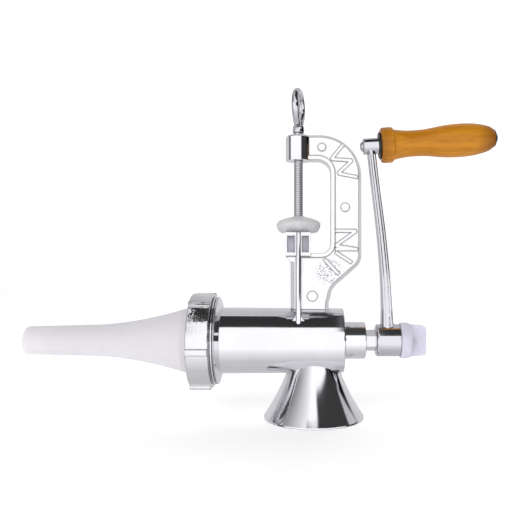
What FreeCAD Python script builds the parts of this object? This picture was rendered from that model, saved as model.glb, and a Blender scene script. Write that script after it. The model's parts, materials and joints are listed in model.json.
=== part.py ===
"""Hand-cranked sausage stuffer, standing on the rim of its hopper.

Millimetres.  +Z is up and the origin is the centre of the hopper rim.  The barrel lies along X: its mouth,
with the stuffing tube, points to -X and its bearing, with the crank, to +X.  The front is the -Y side.
Every size is a cell of the Sizes sheet, and the model's objects are bound to those cells by expressions.
"""
import FreeCAD, Part
import math
import os
import re

import Sketcher
from FreeCAD import Placement, Rotation, Vector

SIZES = {
    # Barrel, along X at axis_height.
    "axis_height": 64.2,
    "barrel_front_x": -76.2,
    "barrel_rear_x": 25.0,
    "barrel_front_radius": 27.5,
    "barrel_rear_radius": 26.8,
    "barrel_edge_round": 1.2,
    "bore_radius": 22.5,
    "bore_rear_x": 18.0,
    "mouth_front_x": -94.1,
    "mouth_radius": 36.4,
    "mouth_rear_x": -80.2,
    "mouth_groove_radius": 34.9,
    "shoulder_x": -78.8,
    "plate_seat_radius": 27.2,
    "plate_thickness": 4.0,
    "spoke_width": 5.0,
    "spoke_foot_radius": 8.0,
    "key_radius": 1.5,
    "key_height": 91.2,
    # Bearing boss behind the barrel.
    "boss_radius": 15.4,
    "boss_rear_x": 43.0,
    "bush_radius": 11.5,
    "journal_radius": 8.95,
    "running_clearance": 0.05,
    # Hopper, a trumpet that opens downwards.
    "rim_radius": 41.6,
    "rim_height": 1.5,
    "hopper_wall": 2.8,
    "hopper_neck_radius": 18.5,
    "hopper_neck_height": 50.7,
    "hopper_flare": 164.0,
    # C-frame.
    "frame_half_depth": 6.5,
    "band_half_depth": 7.5,
    "band_width": 3.5,
    "draft_angle": 24.8,
    "post_left_x": -19.4,
    "post_foot_z": 82.7,
    "frame_inner_x": 14.1,
    "frame_outer_x": 40.2,
    "jaw_line_z": 137.2,
    "arm_underside_z": 214.6,
    "arm_top_z": 236.4,
    "upper_outer_round": 35.0,
    "upper_inner_round": 11.0,
    "lower_inner_round": 8.0,
    "lower_outer_round": 14.0,
    "waist_x": 14.1,
    "waist_round": 15.0,
    "relief": 0.5,
    "truss_width": 2.6,
    # Jaw block and the cross rib under it.
    "jaw_left_x": -23.3,
    "jaw_right_x": -2.7,
    "jaw_bottom_z": 134.6,
    "jaw_top_z": 154.3,
    "jaw_half_depth": 21.0,
    "jaw_pocket_depth": 11.0,
    "jaw_lip": 3.2,
    "rib_half_thickness": 1.9,
    "rib_half_depth": 20.0,
    "rib_foot_round": 9.0,
    # Clamp screw, its boss and its pad.
    "screw_x": -12.7,
    "screw_radius": 4.0,
    "screw_boss_radius": 10.85,
    "screw_boss_bottom_z": 214.4,
    "screw_boss_top_z": 235.6,
    "pad_gap": 0.1,
    "pad_radius": 18.6,
    "pad_height": 13.6,
    "pad_foot_radius": 15.0,
    "screw_top_z": 247.7,
    "eye_bottom_z": 242.3,
    "eye_height": 33.6,
    "eye_half_width": 16.4,
    "eye_foot_half_width": 6.5,
    "eye_half_thickness": 2.5,
    "eye_turn": 76.0,
    # Stuffing tube.
    "tube_tip_x": -239.8,
    "tube_tip_radius": 11.65,
    "tube_straight_x": -176.0,
    "tube_straight_radius": 13.3,
    "tube_neck_x": -108.0,
    "tube_neck_radius": 26.4,
    "tube_flare_radius": 310.0,
    "tube_wall": 1.8,
    "tube_flange_radius": 35.6,
    "tube_flange_thickness": 3.0,
    # Ring nut.
    "ring_front_x": -101.3,
    "ring_rear_x": -83.2,
    "ring_lip": 4.0,
    "ring_radius": 39.2,
    "ring_hole_radius": 26.9,
    "lug_radius": 41.2,
    "lug_width": 4.8,
    "lug_phase": 53.5,
    # Feed screw.
    "auger_front_x": -89.4,
    "auger_rear_x": 14.8,
    "auger_core_radius": 11.0,
    "flight_radius": 21.8,
    "flight_pitch": 26.0,
    "flight_thickness": 3.6,
    "flight_front_x": -84.0,
    "hexagon_radius": 8.8,
    "hexagon_front_x": 43.6,
    "hexagon_rear_x": 67.4,
    "front_pin_radius": 4.0,
    "front_pin_x": -98.0,
    "front_pin_length": 22.0,
    # Crank.
    "hub_radius": 13.5,
    "hub_front_x": 51.5,
    "hub_rear_x": 72.2,
    "hub_floor_x": 68.2,
    "arm_foot_x": 61.8,
    "arm_head_x": 48.0,
    "arm_head_z": 225.7,
    "head_radius": 6.8,
    "grip_tilt": 3.8,
    "grip_x": 54.8,
    "grip_z": 227.5,
    "head_length": 13.5,
    # Grip and its spindle, along the tilted axis from the crank's head.
    "spindle_radius": 3.0,
    "washer_thickness": 1.2,
    "grip_end": 96.2,
    "grip_collar_radius": 14.8,
    "grip_waist_radius": 10.9,
    "grip_belly_radius": 13.9,
    "grip_end_radius": 7.6,
    # Thumb screw.
    "thumb_radius": 14.8,
    "thumb_base_length": 9.6,
    "thumb_end_x": 94.0,
    "thumb_wing_half_height": 12.4,
    "thumb_wing_half_thickness": 4.2,
    "stud_radius": 4.0,
    "stud_front_x": 50.0,
    "stud_rear_x": 86.0,
}

LUG_COUNT = 6
SPOKE_COUNT = 4
PAD_RIB_COUNT = 36

doc = FreeCAD.newDocument("SausageStuffer")
sheet = doc.addObject("Spreadsheet::Sheet", "Sizes")
for row, (alias, number) in enumerate(SIZES.items(), start=1):
    sheet.set(f"A{row}", alias.replace("_", " "))
    sheet.set(f"B{row}", str(number))
    sheet.setAlias(f"B{row}", alias)
doc.recompute()

nodes = []


def linked(expression):
    """The expression with each size's name pointing at its cell."""
    return re.sub(r"[a-z_]+", lambda word: f"Sizes.{word[0]}" if word[0] in SIZES else word[0],
                  str(expression))


def value(expression):
    """What an expression of sizes comes to, in millimetres or degrees."""
    return float(sheet.evalExpression(linked(expression)))


def bind(item, **expressions):
    """Bind properties of an object to expressions of sizes; a double underscore stands for a dot."""
    for name, expression in expressions.items():
        item.setExpression(name.replace("__", "."), linked(expression))
    return item


def arc_between(start, end, radius):
    """A minor arc from start to end that bulges to the left of travel, or right if radius is negative."""
    chord = end - start
    middle = (start + end) * 0.5
    left = Vector(-chord.y, chord.x, 0).normalize()
    sagitta = abs(radius) - math.sqrt(radius * radius - (chord.Length / 2) ** 2)
    return Part.Arc(start, middle + left * math.copysign(sagitta, radius), end)


def draw(sketch, corners):
    """Draw a closed outline; a corner is (x, y), or (x, y, radius) when an arc leads to it."""
    points = [Vector(value(corner[0]), value(corner[1]), 0) for corner in corners]
    for index, corner in enumerate(corners):
        start, end = points[index - 1], points[index]
        if len(corner) == 3:
            edge = sketch.addGeometry(arc_between(start, end, value(corner[2])))
            counterclockwise = value(corner[2]) < 0
            end_vertex, start_vertex = (2, 1) if counterclockwise else (1, 2)
        else:
            edge = sketch.addGeometry(Part.LineSegment(start, end))
            end_vertex, start_vertex = 2, 1
        if index:
            sketch.addConstraint(
                Sketcher.Constraint("Coincident", previous[0], previous[1], edge, start_vertex))
        else:
            first = (edge, start_vertex)
        previous = (edge, end_vertex)
        for kind, which in (("DistanceX", 0), ("DistanceY", 1)):
            position = (end.x, end.y)[which]
            number = sketch.addConstraint(Sketcher.Constraint(kind, -1, 1, edge, end_vertex, position))
            label = f"corner_{index}_{'xy'[which]}"
            sketch.renameConstraint(number, label)
            bind(sketch, **{f"Constraints__{label}": corner[which]})
        if len(corner) == 3:
            number = sketch.addConstraint(Sketcher.Constraint("Radius", edge, abs(value(corner[2]))))
            label = f"corner_{index}_radius"
            sketch.renameConstraint(number, label)
            bind(sketch, **{f"Constraints__{label}": f"abs({corner[2]})"})
    sketch.addConstraint(Sketcher.Constraint("Coincident", previous[0], previous[1], first[0], first[1]))
    return sketch


def free_sketch(name, corners, rotation=Rotation(Vector(1, 0, 0), 90)):
    """A sketch outside any body, by default in the XZ plane, for the Part features."""
    sketch = draw(doc.addObject("Sketcher::SketchObject", name), corners)
    sketch.Placement = Placement(Vector(0, 0, 0), rotation)
    return sketch


def new_body(label):
    body = doc.addObject("PartDesign::Body", label)
    body.Label = label
    return body


def body_sketch(body, name, role, corners):
    """A sketch of a body on one of its own origin planes, such as XZ_Plane."""
    sketch = body.newObject("Sketcher::SketchObject", name)
    plane = next(feature for feature in body.Origin.OriginFeatures if feature.Role == role)
    sketch.AttachmentSupport = [(plane, "")]
    sketch.MapMode = "FlatFace"
    return draw(sketch, corners)


def keep(item, label):
    """List a finished sub-part: its label is its node's name."""
    item.Label = label
    nodes.append(item)
    return item


def turned(label, corners):
    """A body of revolution about its own X axis; corners are (distance along X, radius)."""
    body = new_body(label)
    sketch = body_sketch(body, label + "_profile", "XZ_Plane", corners)
    feature = body.newObject("PartDesign::Revolution", label + "_turning")
    feature.Profile = sketch
    feature.ReferenceAxis = (sketch, ["H_Axis"])
    feature.Angle = 360
    return body


def ring(front, rear, inner, outer):
    """The profile of a plain ring."""
    return [(front, inner), (rear, inner), (rear, outer), (front, outer)]


def on_barrel_axis(item):
    """Place a sub-part that was drawn about X on the barrel's axis."""
    return bind(item, Placement__Base__z="axis_height")


def on_screw_axis(item, bottom):
    """Stand a sub-part that was drawn about X upright on the clamp screw's axis."""
    item.Placement = Placement(Vector(value("screw_x"), 0, value(bottom)), Rotation(Vector(0, 1, 0), -90))
    return bind(item, Placement__Base__x="screw_x", Placement__Base__z=bottom)


def on_grip_axis(item):
    """Lay a sub-part that was drawn about X on the grip's tilted axis."""
    item.Placement = Placement(Vector(), Rotation(Vector(0, 1, 0), -value("grip_tilt")))
    return bind(item, Placement__Base__x="grip_x", Placement__Base__z="grip_z")


def cylinder(name, radius, height, base, direction=Vector(0, 0, 1)):
    """A Part cylinder from a base point of three expressions, along a direction."""
    item = bind(doc.addObject("Part::Cylinder", name), Radius=radius, Height=height)
    item.Placement.Rotation = Rotation(Vector(0, 0, 1), direction)
    return bind(item, Placement__Base__x=base[0], Placement__Base__y=base[1], Placement__Base__z=base[2])


def block(name, low, high):
    """A Part box between two corners, each of three expressions."""
    item = doc.addObject("Part::Box", name)
    bind(item, Length=f"({high[0]}) - ({low[0]})", Width=f"({high[1]}) - ({low[1]})",
         Height=f"({high[2]}) - ({low[2]})")
    return bind(item, Placement__Base__x=low[0], Placement__Base__y=low[1], Placement__Base__z=low[2])


def extruded(name, sketch, half_depth, taper=None):
    """A sketch of the XZ plane, extruded both ways along Y, with an optional draft on both halves."""
    item = doc.addObject("Part::Extrusion", name)
    item.Base = sketch
    item.DirMode = "Normal"
    item.Solid = True
    bind(item, LengthFwd=half_depth, LengthRev=half_depth)
    if taper:
        bind(item, TaperAngle=f"-({taper})", TaperAngleRev=f"-({taper})")
    return item


def revolved(name, sketch, axis, height=None):
    """A sketch turned about a row axis, which may lie at a height of its own."""
    item = doc.addObject("Part::Revolution", name)
    item.Source = sketch
    item.Axis = axis
    item.Angle = 360
    item.Solid = True
    return bind(item, Base__z=height) if height else item


def fused(name, pieces):
    item = doc.addObject("Part::MultiFuse", name)
    item.Shapes = pieces
    item.Refine = True
    return item


def cut(name, base, tools):
    item = doc.addObject("Part::Cut", name)
    item.Base = base
    item.Tool = tools[0] if len(tools) == 1 else fused(name + "_tools", tools)
    item.Refine = True
    return item


# ---------------------------------------------------------------- body casting

def barrel_outside():
    """Barrel, threaded mouth and bearing boss as one turned solid."""
    axis, corner = "axis_height", "barrel_edge_round"
    return revolved("barrel_outside", free_sketch("barrel_outside_profile", [
        ("mouth_front_x", axis),
        ("mouth_front_x", f"{axis} + mouth_radius - 1"),
        ("mouth_front_x + 1", f"{axis} + mouth_radius"),
        ("mouth_rear_x - 1.4", f"{axis} + mouth_radius"),
        ("mouth_rear_x - 0.6", f"{axis} + mouth_groove_radius"),
        ("mouth_rear_x", f"{axis} + mouth_groove_radius"),
        ("mouth_rear_x + 0.6", f"{axis} + mouth_radius"),
        ("shoulder_x", f"{axis} + mouth_radius - 0.4"),
        ("barrel_front_x", f"{axis} + barrel_front_radius"),
        (f"barrel_rear_x - {corner}", f"{axis} + barrel_rear_radius"),
        ("barrel_rear_x", f"{axis} + barrel_rear_radius - {corner}", f"{corner}"),
        ("barrel_rear_x", f"{axis} + boss_radius + 1.5"),
        ("barrel_rear_x + 1.5", f"{axis} + boss_radius", "-1.5"),
        ("boss_rear_x - 1", f"{axis} + boss_radius"),
        ("boss_rear_x", f"{axis} + boss_radius - 1", "1"),
        ("boss_rear_x", axis)]), Vector(1, 0, 0), axis)


def barrel_inside():
    """Bore of the barrel, seat of the support plate and bore of the bush."""
    axis = "axis_height"
    return revolved("barrel_inside", free_sketch("barrel_inside_profile", [
        ("mouth_front_x - 1", axis),
        ("mouth_front_x - 1", f"{axis} + plate_seat_radius"),
        ("mouth_front_x + plate_thickness", f"{axis} + plate_seat_radius"),
        ("mouth_front_x + plate_thickness", f"{axis} + bore_radius"),
        ("bore_rear_x", f"{axis} + bore_radius"),
        ("bore_rear_x", f"{axis} + bush_radius"),
        ("boss_rear_x + 1", f"{axis} + bush_radius"),
        ("boss_rear_x + 1", axis)]), Vector(1, 0, 0), axis)


def hopper_outside():
    return revolved("hopper_outside", free_sketch("hopper_outside_profile", [
        ("0", "0"),
        ("rim_radius - 0.6", "0"),
        ("rim_radius", "0.6", "-0.6"),
        ("rim_radius", "rim_height"),
        ("hopper_neck_radius", "hopper_neck_height", "hopper_flare"),
        ("0", "hopper_neck_height")]), Vector(0, 0, 1))


def hopper_inside():
    """The hopper's cavity and the throat through the barrel's wall."""
    return revolved("hopper_inside", free_sketch("hopper_inside_profile", [
        ("0", "-1"),
        ("rim_radius - hopper_wall", "-1"),
        ("rim_radius - hopper_wall", "rim_height"),
        ("hopper_neck_radius - hopper_wall", "hopper_neck_height", "hopper_flare"),
        ("hopper_neck_radius - hopper_wall", "axis_height - 10"),
        ("0", "axis_height - 10")]), Vector(0, 0, 1))


def frame_blank():
    """Outside of the C-frame and post; the throat is still filled."""
    return extruded("frame_blank", free_sketch("frame_outline", [
        ("post_left_x", "post_foot_z"),
        ("waist_x + 6", "post_foot_z"),
        ("waist_x", "post_foot_z + 17", "12"),
        ("waist_x + 5.1", "post_foot_z + 28.3", "waist_round"),
        ("frame_outer_x - 4.7", "post_foot_z + 42.7"),
        ("frame_outer_x", "post_foot_z + 53.2", "-lower_outer_round"),
        ("frame_outer_x", "arm_top_z - upper_outer_round"),
        ("frame_outer_x - upper_outer_round", "arm_top_z", "-upper_outer_round"),
        ("screw_x", "arm_top_z"),
        ("screw_x", "jaw_line_z + 20"),
        ("post_left_x", "jaw_line_z + 8")]), "frame_half_depth", "draft_angle")


def throat_outline(name, grow, left, half_depth):
    """The gap of the C, grown outwards by an expression."""
    right, low, high = f"frame_inner_x + {grow}", f"jaw_line_z - ({grow})", f"arm_underside_z + {grow}"
    lower, upper = f"(lower_inner_round + {grow})", f"(upper_inner_round + {grow})"
    return extruded(name, free_sketch(name + "_outline", [
        (left, low),
        (f"{right} - {lower}", low),
        (right, f"{low} + {lower}", f"-{lower}"),
        (right, f"{high} - {upper}"),
        (f"{right} - {upper}", high, f"-{upper}"),
        (left, high)]), half_depth)


def truss_strips():
    """The zigzag of flat strips in relief on the frame's two bends, each from one corner to the next."""
    upper = [(24.5, 227.3), (14.5, 215.1), (31.8, 214.1), (20.2, 203.3), (36.4, 200.1)]
    lower = [(17.5, 155.7), (35.4, 155.7), (18.0, 143.3), (36.6, 140.4), (17.8, 140.4)]
    corners = list(zip(upper, upper[1:])) + list(zip(lower, lower[1:]))
    corners += [((17.8, 138.1), (31.6, 129.3)), ((8.8, 132.3), (20.6, 119.7))]
    strips = []
    for number, ((start_x, start_z), (end_x, end_z)) in enumerate(corners):
        strip = doc.addObject("Part::Box", f"truss_strip_{number}")
        run = Vector(end_x - start_x, 0, end_z - start_z)
        bind(strip, Width="2 * (frame_half_depth + relief)", Height="truss_width")
        strip.Length = run.Length
        turn = Rotation(Vector(0, 1, 0), -math.degrees(math.atan2(run.z, run.x)))
        corner = Vector(0, -value("frame_half_depth + relief"), -value("truss_width") / 2)
        strip.Placement = Placement(Vector(start_x, 0, start_z) + turn.multVec(corner), turn)
        strips.append(strip)
    return strips


def ejector_marks():
    """Round bosses left by the mould's ejector pins, on both faces of the frame."""
    places = [("6.7", "225.1", "3.3"), ("26", "175.3", "3.6"), ("-1.2", "101.5", "4.2")]
    return [cylinder(f"ejector_mark_{number}", radius, "2 * (frame_half_depth + relief)",
                     (x, "frame_half_depth + relief", z), Vector(0, -1, 0))
            for number, (x, z, radius) in enumerate(places)]


def jaw():
    """Block that carries the clamp's flat face, with pockets either side of the rib, front and back."""
    body = block("jaw_block", ("jaw_left_x", "-jaw_half_depth", "jaw_bottom_z"),
                 ("jaw_right_x", "jaw_half_depth", "jaw_top_z"))
    taper = extruded("jaw_taper", free_sketch("jaw_taper_outline", [
        ("jaw_left_x", "jaw_bottom_z"),
        ("post_left_x", "jaw_bottom_z - 5"),
        ("post_left_x + 4", "jaw_bottom_z - 5"),
        ("post_left_x + 4", "jaw_bottom_z + 1"),
        ("jaw_left_x", "jaw_bottom_z + 1")]), "frame_half_depth")
    pockets = []
    for side, front, back in (("front", "-jaw_half_depth - 1", "jaw_pocket_depth - jaw_half_depth"),
                              ("back", "jaw_half_depth - jaw_pocket_depth", "jaw_half_depth + 1")):
        pockets.append(block(f"jaw_pocket_left_{side}", ("jaw_left_x + 1.6", front, "jaw_bottom_z + jaw_lip"),
                             ("screw_x - rib_half_thickness - 1.2", back, "jaw_top_z - jaw_lip")))
        pockets.append(block(f"jaw_pocket_right_{side}", ("screw_x + rib_half_thickness + 1.2", front,
                                                          "jaw_bottom_z + jaw_lip"),
                             ("jaw_right_x - 1.6", back, "jaw_top_z - jaw_lip")))
    return cut("jaw", fused("jaw_solid", [body, taper]), pockets)


def cross_rib():
    """Rib across the post, from the jaw down to the flanks of the barrel, with a splayed foot."""
    across = Rotation(Vector(0, 0, 1), 90) * Rotation(Vector(1, 0, 0), 90)
    rib = doc.addObject("Part::Extrusion", "cross_rib")
    rib.Base = free_sketch("cross_rib_outline", [
        ("-rib_half_depth - 1", "axis_height + 13"),
        ("rib_half_depth + 1", "axis_height + 13"),
        ("rib_half_depth", "jaw_bottom_z + 1"),
        ("-rib_half_depth", "jaw_bottom_z + 1")], across)
    rib.DirMode = "Normal"
    rib.Solid = True
    bind(rib, LengthFwd="rib_half_thickness", LengthRev="rib_half_thickness", Placement__Base__x="screw_x")
    near, far = "rib_half_thickness", "(rib_half_thickness + rib_foot_round)"
    foot = extruded("rib_foot", free_sketch("rib_foot_outline", [
        (f"screw_x - {near}", "axis_height + 25"),
        (f"screw_x - {far}", "axis_height + 25 - rib_foot_round", "rib_foot_round"),
        (f"screw_x - {far}", "axis_height + 10"),
        (f"screw_x + {far}", "axis_height + 10"),
        (f"screw_x + {far}", "axis_height + 25 - rib_foot_round"),
        (f"screw_x + {near}", "axis_height + 25", "rib_foot_round")]), "rib_half_depth")
    return fused("rib_and_foot", [rib, foot])


def screw_boss():
    top = "screw_boss_top_z - screw_boss_bottom_z"
    return on_screw_axis(turned("screw_boss", [
        ("0", "0"),
        ("0", "screw_boss_radius"),
        (f"{top} - 1.8", "screw_boss_radius"),
        (top, "screw_boss_radius - 1.8"),
        (top, "0")]), "screw_boss_bottom_z")


def body_casting():
    throat = throat_outline("throat", "0", "jaw_left_x - 5", "jaw_half_depth + 5")
    band = throat_outline("frame_band", "band_width", "screw_x", "band_half_depth")
    relief = truss_strips() + ejector_marks()
    doc.recompute()
    frame = cut("frame", fused("frame_solid", [frame_blank(), band] + relief), [throat])
    solid = fused("casting_solid",
                  [frame, jaw(), cross_rib(), screw_boss(), barrel_outside(), hopper_outside()])
    screw_bore = cylinder("screw_bore", "screw_radius + running_clearance", "40", ("screw_x", "0", "205"))
    key_bore = cylinder("key_bore", "key_radius", "9", ("mouth_front_x", "0", "key_height"),
                        Vector(1, 0, 0))
    keep(cut("casting", solid, [barrel_inside(), hopper_inside(), screw_bore, key_bore]), "body_casting")


# ---------------------------------------------------------------- inside the barrel

def support_spoke(number):
    """One spoke of the support plate: a bar that stands out from the barrel's axis, turned about it."""
    bar = doc.addObject("Part::Box", f"support_spoke_{number}")
    bind(bar, Length="plate_thickness", Width="spoke_width",
         Height="plate_seat_radius - 2 - spoke_foot_radius")
    turn = Rotation(Vector(1, 0, 0), (number + 0.5) * 360 / SPOKE_COUNT)
    foot = turn.multVec(Vector(0, -value("spoke_width") / 2, value("spoke_foot_radius")))
    bar.Placement = Placement(Vector(value("mouth_front_x"), 0, value("axis_height")) + foot, turn)
    return bar


def support_plate():
    """Spoked plate in the barrel's mouth, with a bore for the feed screw's pin and a notch for the key."""
    front = "mouth_front_x"
    rear = "mouth_front_x + plate_thickness"
    rim = on_barrel_axis(turned("support_rim", ring(front, rear, "plate_seat_radius - 4.2",
                                                    "plate_seat_radius - 0.1")))
    bore = "front_pin_radius + running_clearance"
    hub = on_barrel_axis(turned("support_hub", ring(front, rear, bore, "spoke_foot_radius + 1")))
    spokes = [support_spoke(number) for number in range(SPOKE_COUNT)]
    notch = cylinder("support_notch", "key_radius + 0.15", "plate_thickness + 2",
                     (f"{front} - 1", "0", "key_height"), Vector(1, 0, 0))
    keep(cut("support", fused("support_solid", [rim, hub] + spokes), [notch]), "auger_support")
    key = cylinder("key", "key_radius", "plate_thickness + 5", ("mouth_front_x", "0", "key_height"),
                   Vector(1, 0, 0))
    keep(key, "support_key")


def flight():
    """Helical flight of the feed screw: a rectangle swept along a helix with a fixed radial direction."""
    pitch, outer = value("flight_pitch"), value("flight_radius")
    length = value("auger_rear_x - flight_front_x - flight_thickness - 1")
    root, thickness = value("auger_core_radius") - 4, value("flight_thickness")
    spine = Part.makeHelix(pitch, length, outer)
    section = Part.makePolygon([Vector(root, 0, 0), Vector(outer, 0, 0), Vector(outer, 0, thickness),
                                Vector(root, 0, thickness), Vector(root, 0, 0)])
    pipe = Part.BRepOffsetAPI.MakePipeShell(Part.Wire(spine.Edges))
    pipe.setAuxiliarySpine(Part.Wire(Part.makeHelix(pitch, length, outer * 2).Edges), True, 0)
    pipe.add(section)
    pipe.build()
    pipe.makeSolid()
    item = doc.addObject("Part::Feature", "flight")
    item.Shape = pipe.shape()
    item.Placement = Placement(Vector(value("flight_front_x"), 0, value("axis_height")),
                               Rotation(Vector(1, 0, 0), 35) * Rotation(Vector(0, 1, 0), 90))
    return item


def feed_screw():
    along = Vector(1, 0, 0)
    core = cylinder("auger_core", "auger_core_radius", "auger_rear_x - auger_front_x",
                    ("auger_front_x", "0", "axis_height"), along)
    journal = cylinder("journal", "journal_radius", "hexagon_front_x - auger_rear_x + 20",
                       ("auger_rear_x - 20", "0", "axis_height"), along)
    hexagon = doc.addObject("Part::Prism", "drive_hexagon")
    hexagon.Polygon = 6
    bind(hexagon, Circumradius="hexagon_radius", Height="hexagon_rear_x - hexagon_front_x + 4")
    hexagon.Placement.Rotation = Rotation(Vector(0, 1, 0), 90)
    bind(hexagon, Placement__Base__x="hexagon_front_x - 4", Placement__Base__z="axis_height")
    pin_bore = cylinder("pin_bore", "front_pin_radius", "front_pin_length",
                        ("front_pin_x", "0", "axis_height"), along)
    stud_hole = cylinder("stud_hole", "stud_radius + running_clearance", "hexagon_rear_x - stud_front_x + 3",
                         ("stud_front_x - 2", "0", "axis_height"), along)
    screw = fused("auger_thread", [core, flight()])
    keep(cut("auger", fused("auger_solid", [screw, journal, hexagon]), [pin_bore, stud_hole]), "auger_screw")


def barrel_contents():
    front, pin_end = "front_pin_x", "front_pin_x + front_pin_length"
    keep(on_barrel_axis(turned("front_pin", [
        (front, "0"),
        (pin_end, "0"),
        (pin_end, "front_pin_radius"),
        (f"{front} + 1", "front_pin_radius"),
        (front, "front_pin_radius - 1")])), "auger_front_pin")
    running_fit = "journal_radius + running_clearance"
    keep(on_barrel_axis(turned("bush", ring("bore_rear_x", "boss_rear_x", running_fit,
                                            "bush_radius"))), "rear_bush")
    keep(on_barrel_axis(turned("thrust", ring("auger_rear_x + 0.2", "bore_rear_x", "journal_radius + 0.3",
                                              "16"))), "thrust_washer")
    support_plate()
    feed_screw()


# ---------------------------------------------------------------- tube and ring nut

def stuffing_tube():
    wall, flange = "tube_wall", "mouth_front_x - 0.1"
    keep(on_barrel_axis(turned("tube", [
        ("tube_tip_x", f"tube_tip_radius - {wall}"),
        ("tube_tip_x", "tube_tip_radius - 0.5"),
        ("tube_tip_x + 0.5", "tube_tip_radius"),
        ("tube_straight_x", "tube_straight_radius"),
        ("tube_neck_x", "tube_neck_radius", "-tube_flare_radius"),
        (f"{flange} - tube_flange_thickness", "tube_neck_radius"),
        (f"{flange} - tube_flange_thickness", "tube_flange_radius"),
        (flange, "tube_flange_radius"),
        (flange, f"tube_neck_radius - {wall}"),
        ("tube_neck_x + 1", f"tube_neck_radius - {wall}"),
        ("tube_straight_x + 1", f"tube_straight_radius - {wall}", "tube_flare_radius")])), "stuffing_tube")


def ring_nut():
    body = turned("ring_nut", [
        ("ring_front_x", "ring_hole_radius"),
        ("ring_front_x", "ring_radius - 1.5"),
        ("ring_front_x + 1.5", "ring_radius", "1.5"),
        ("ring_rear_x - 0.8", "ring_radius"),
        ("ring_rear_x", "ring_radius - 0.8", "0.8"),
        ("ring_rear_x", "mouth_radius + running_clearance"),
        ("ring_front_x + ring_lip", "mouth_radius + running_clearance"),
        ("ring_front_x + ring_lip", "ring_hole_radius")])
    lug = body.newObject("PartDesign::Pad", "lug")
    lug.Profile = body_sketch(body, "lug_outline", "YZ_Plane", [
        ("-lug_width / 2", "ring_radius - 1"),
        ("lug_width / 2", "ring_radius - 1"),
        ("lug_width / 2", "lug_radius"),
        ("-lug_width / 2", "lug_radius", "lug_radius")])
    lug.Type = "Length"
    bind(lug, Length="ring_rear_x - ring_front_x - 1")
    bind(lug.Profile[0], AttachmentOffset__Base__z="ring_front_x + 0.5")
    doc.recompute()
    pattern = body.newObject("PartDesign::PolarPattern", "lugs")
    pattern.Originals = [lug]
    pattern.Axis = (next(axis for axis in body.Origin.OriginFeatures if axis.Role == "X_Axis"), [""])
    pattern.Angle = 360
    pattern.Occurrences = LUG_COUNT
    body.Tip = pattern
    on_barrel_axis(body).Placement.Rotation = Rotation(Vector(1, 0, 0), 90 - value("lug_phase"))
    keep(body, "ring_nut")


# ---------------------------------------------------------------- crank, grip and thumb screw

def crank_section(name, x, z, half_width, half_depth):
    """One oval section of the crank's arm, level, with its long way along Y."""
    oval = bind(doc.addObject("Part::Ellipse", name), MajorRadius=half_depth, MinorRadius=half_width,
                Placement__Base__x=x, Placement__Base__z=z)
    oval.Placement.Rotation = Rotation(Vector(0, 0, 1), 90)
    return oval


def crank_arm():
    """Hub with a hexagonal socket, an oval arm that leans and bows, and a head for the grip's spindle."""
    hub = on_barrel_axis(turned("crank_hub", [
        ("hub_front_x", "0"),
        ("hub_front_x", "hub_radius - 2.5"),
        ("hub_front_x + 2.5", "hub_radius", "2.5"),
        ("hub_rear_x - 0.6", "hub_radius"),
        ("hub_rear_x", "hub_radius - 0.6", "0.6"),
        ("hub_rear_x", "0")]))
    sections = [
        crank_section("arm_section_foot", "arm_foot_x", "axis_height + 6", "6.2", "8.4"),
        crank_section("arm_section_low", "arm_foot_x - 0.6", "axis_height + 26", "5.0", "7.2"),
        crank_section("arm_section_middle", "arm_foot_x - 4.6", "axis_height + 84", "4.1", "6.4"),
        crank_section("arm_section_high", "arm_foot_x - 9.5", "axis_height + 124", "3.8", "6.0"),
        crank_section("arm_section_head", "arm_head_x", "arm_head_z", "3.7", "5.6")]
    shank = doc.addObject("Part::Loft", "arm_shank")
    shank.Sections = sections
    shank.Solid = True
    head = on_grip_axis(turned("crank_head", [
        ("-head_length", "0"), ("-head_length", "head_radius - 1.2"),
        ("1.2 - head_length", "head_radius", "1.2"),
        ("-0.6", "head_radius"), ("0", "head_radius - 0.6", "0.6"), ("0", "0")]))
    socket = doc.addObject("Part::Prism", "hub_socket")
    socket.Polygon = 6
    bind(socket, Circumradius="hexagon_radius + running_clearance", Height="hub_floor_x - hub_front_x + 1")
    socket.Placement.Rotation = Rotation(Vector(0, 1, 0), 90)
    bind(socket, Placement__Base__x="hub_front_x - 1", Placement__Base__z="axis_height")
    stud_hole = cylinder("hub_stud_hole", "stud_radius + 0.3", "30", ("hub_front_x", "0", "axis_height"),
                         Vector(1, 0, 0))
    spindle_hole = on_grip_axis(turned("head_hole", [("-30", "0"), ("-30", "spindle_radius"),
                                                     ("10", "spindle_radius"), ("10", "0")]))
    solid = fused("crank_solid", [hub, shank, head])
    keep(cut("crank", solid, [socket, stud_hole, spindle_hole]), "crank_arm")


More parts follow.
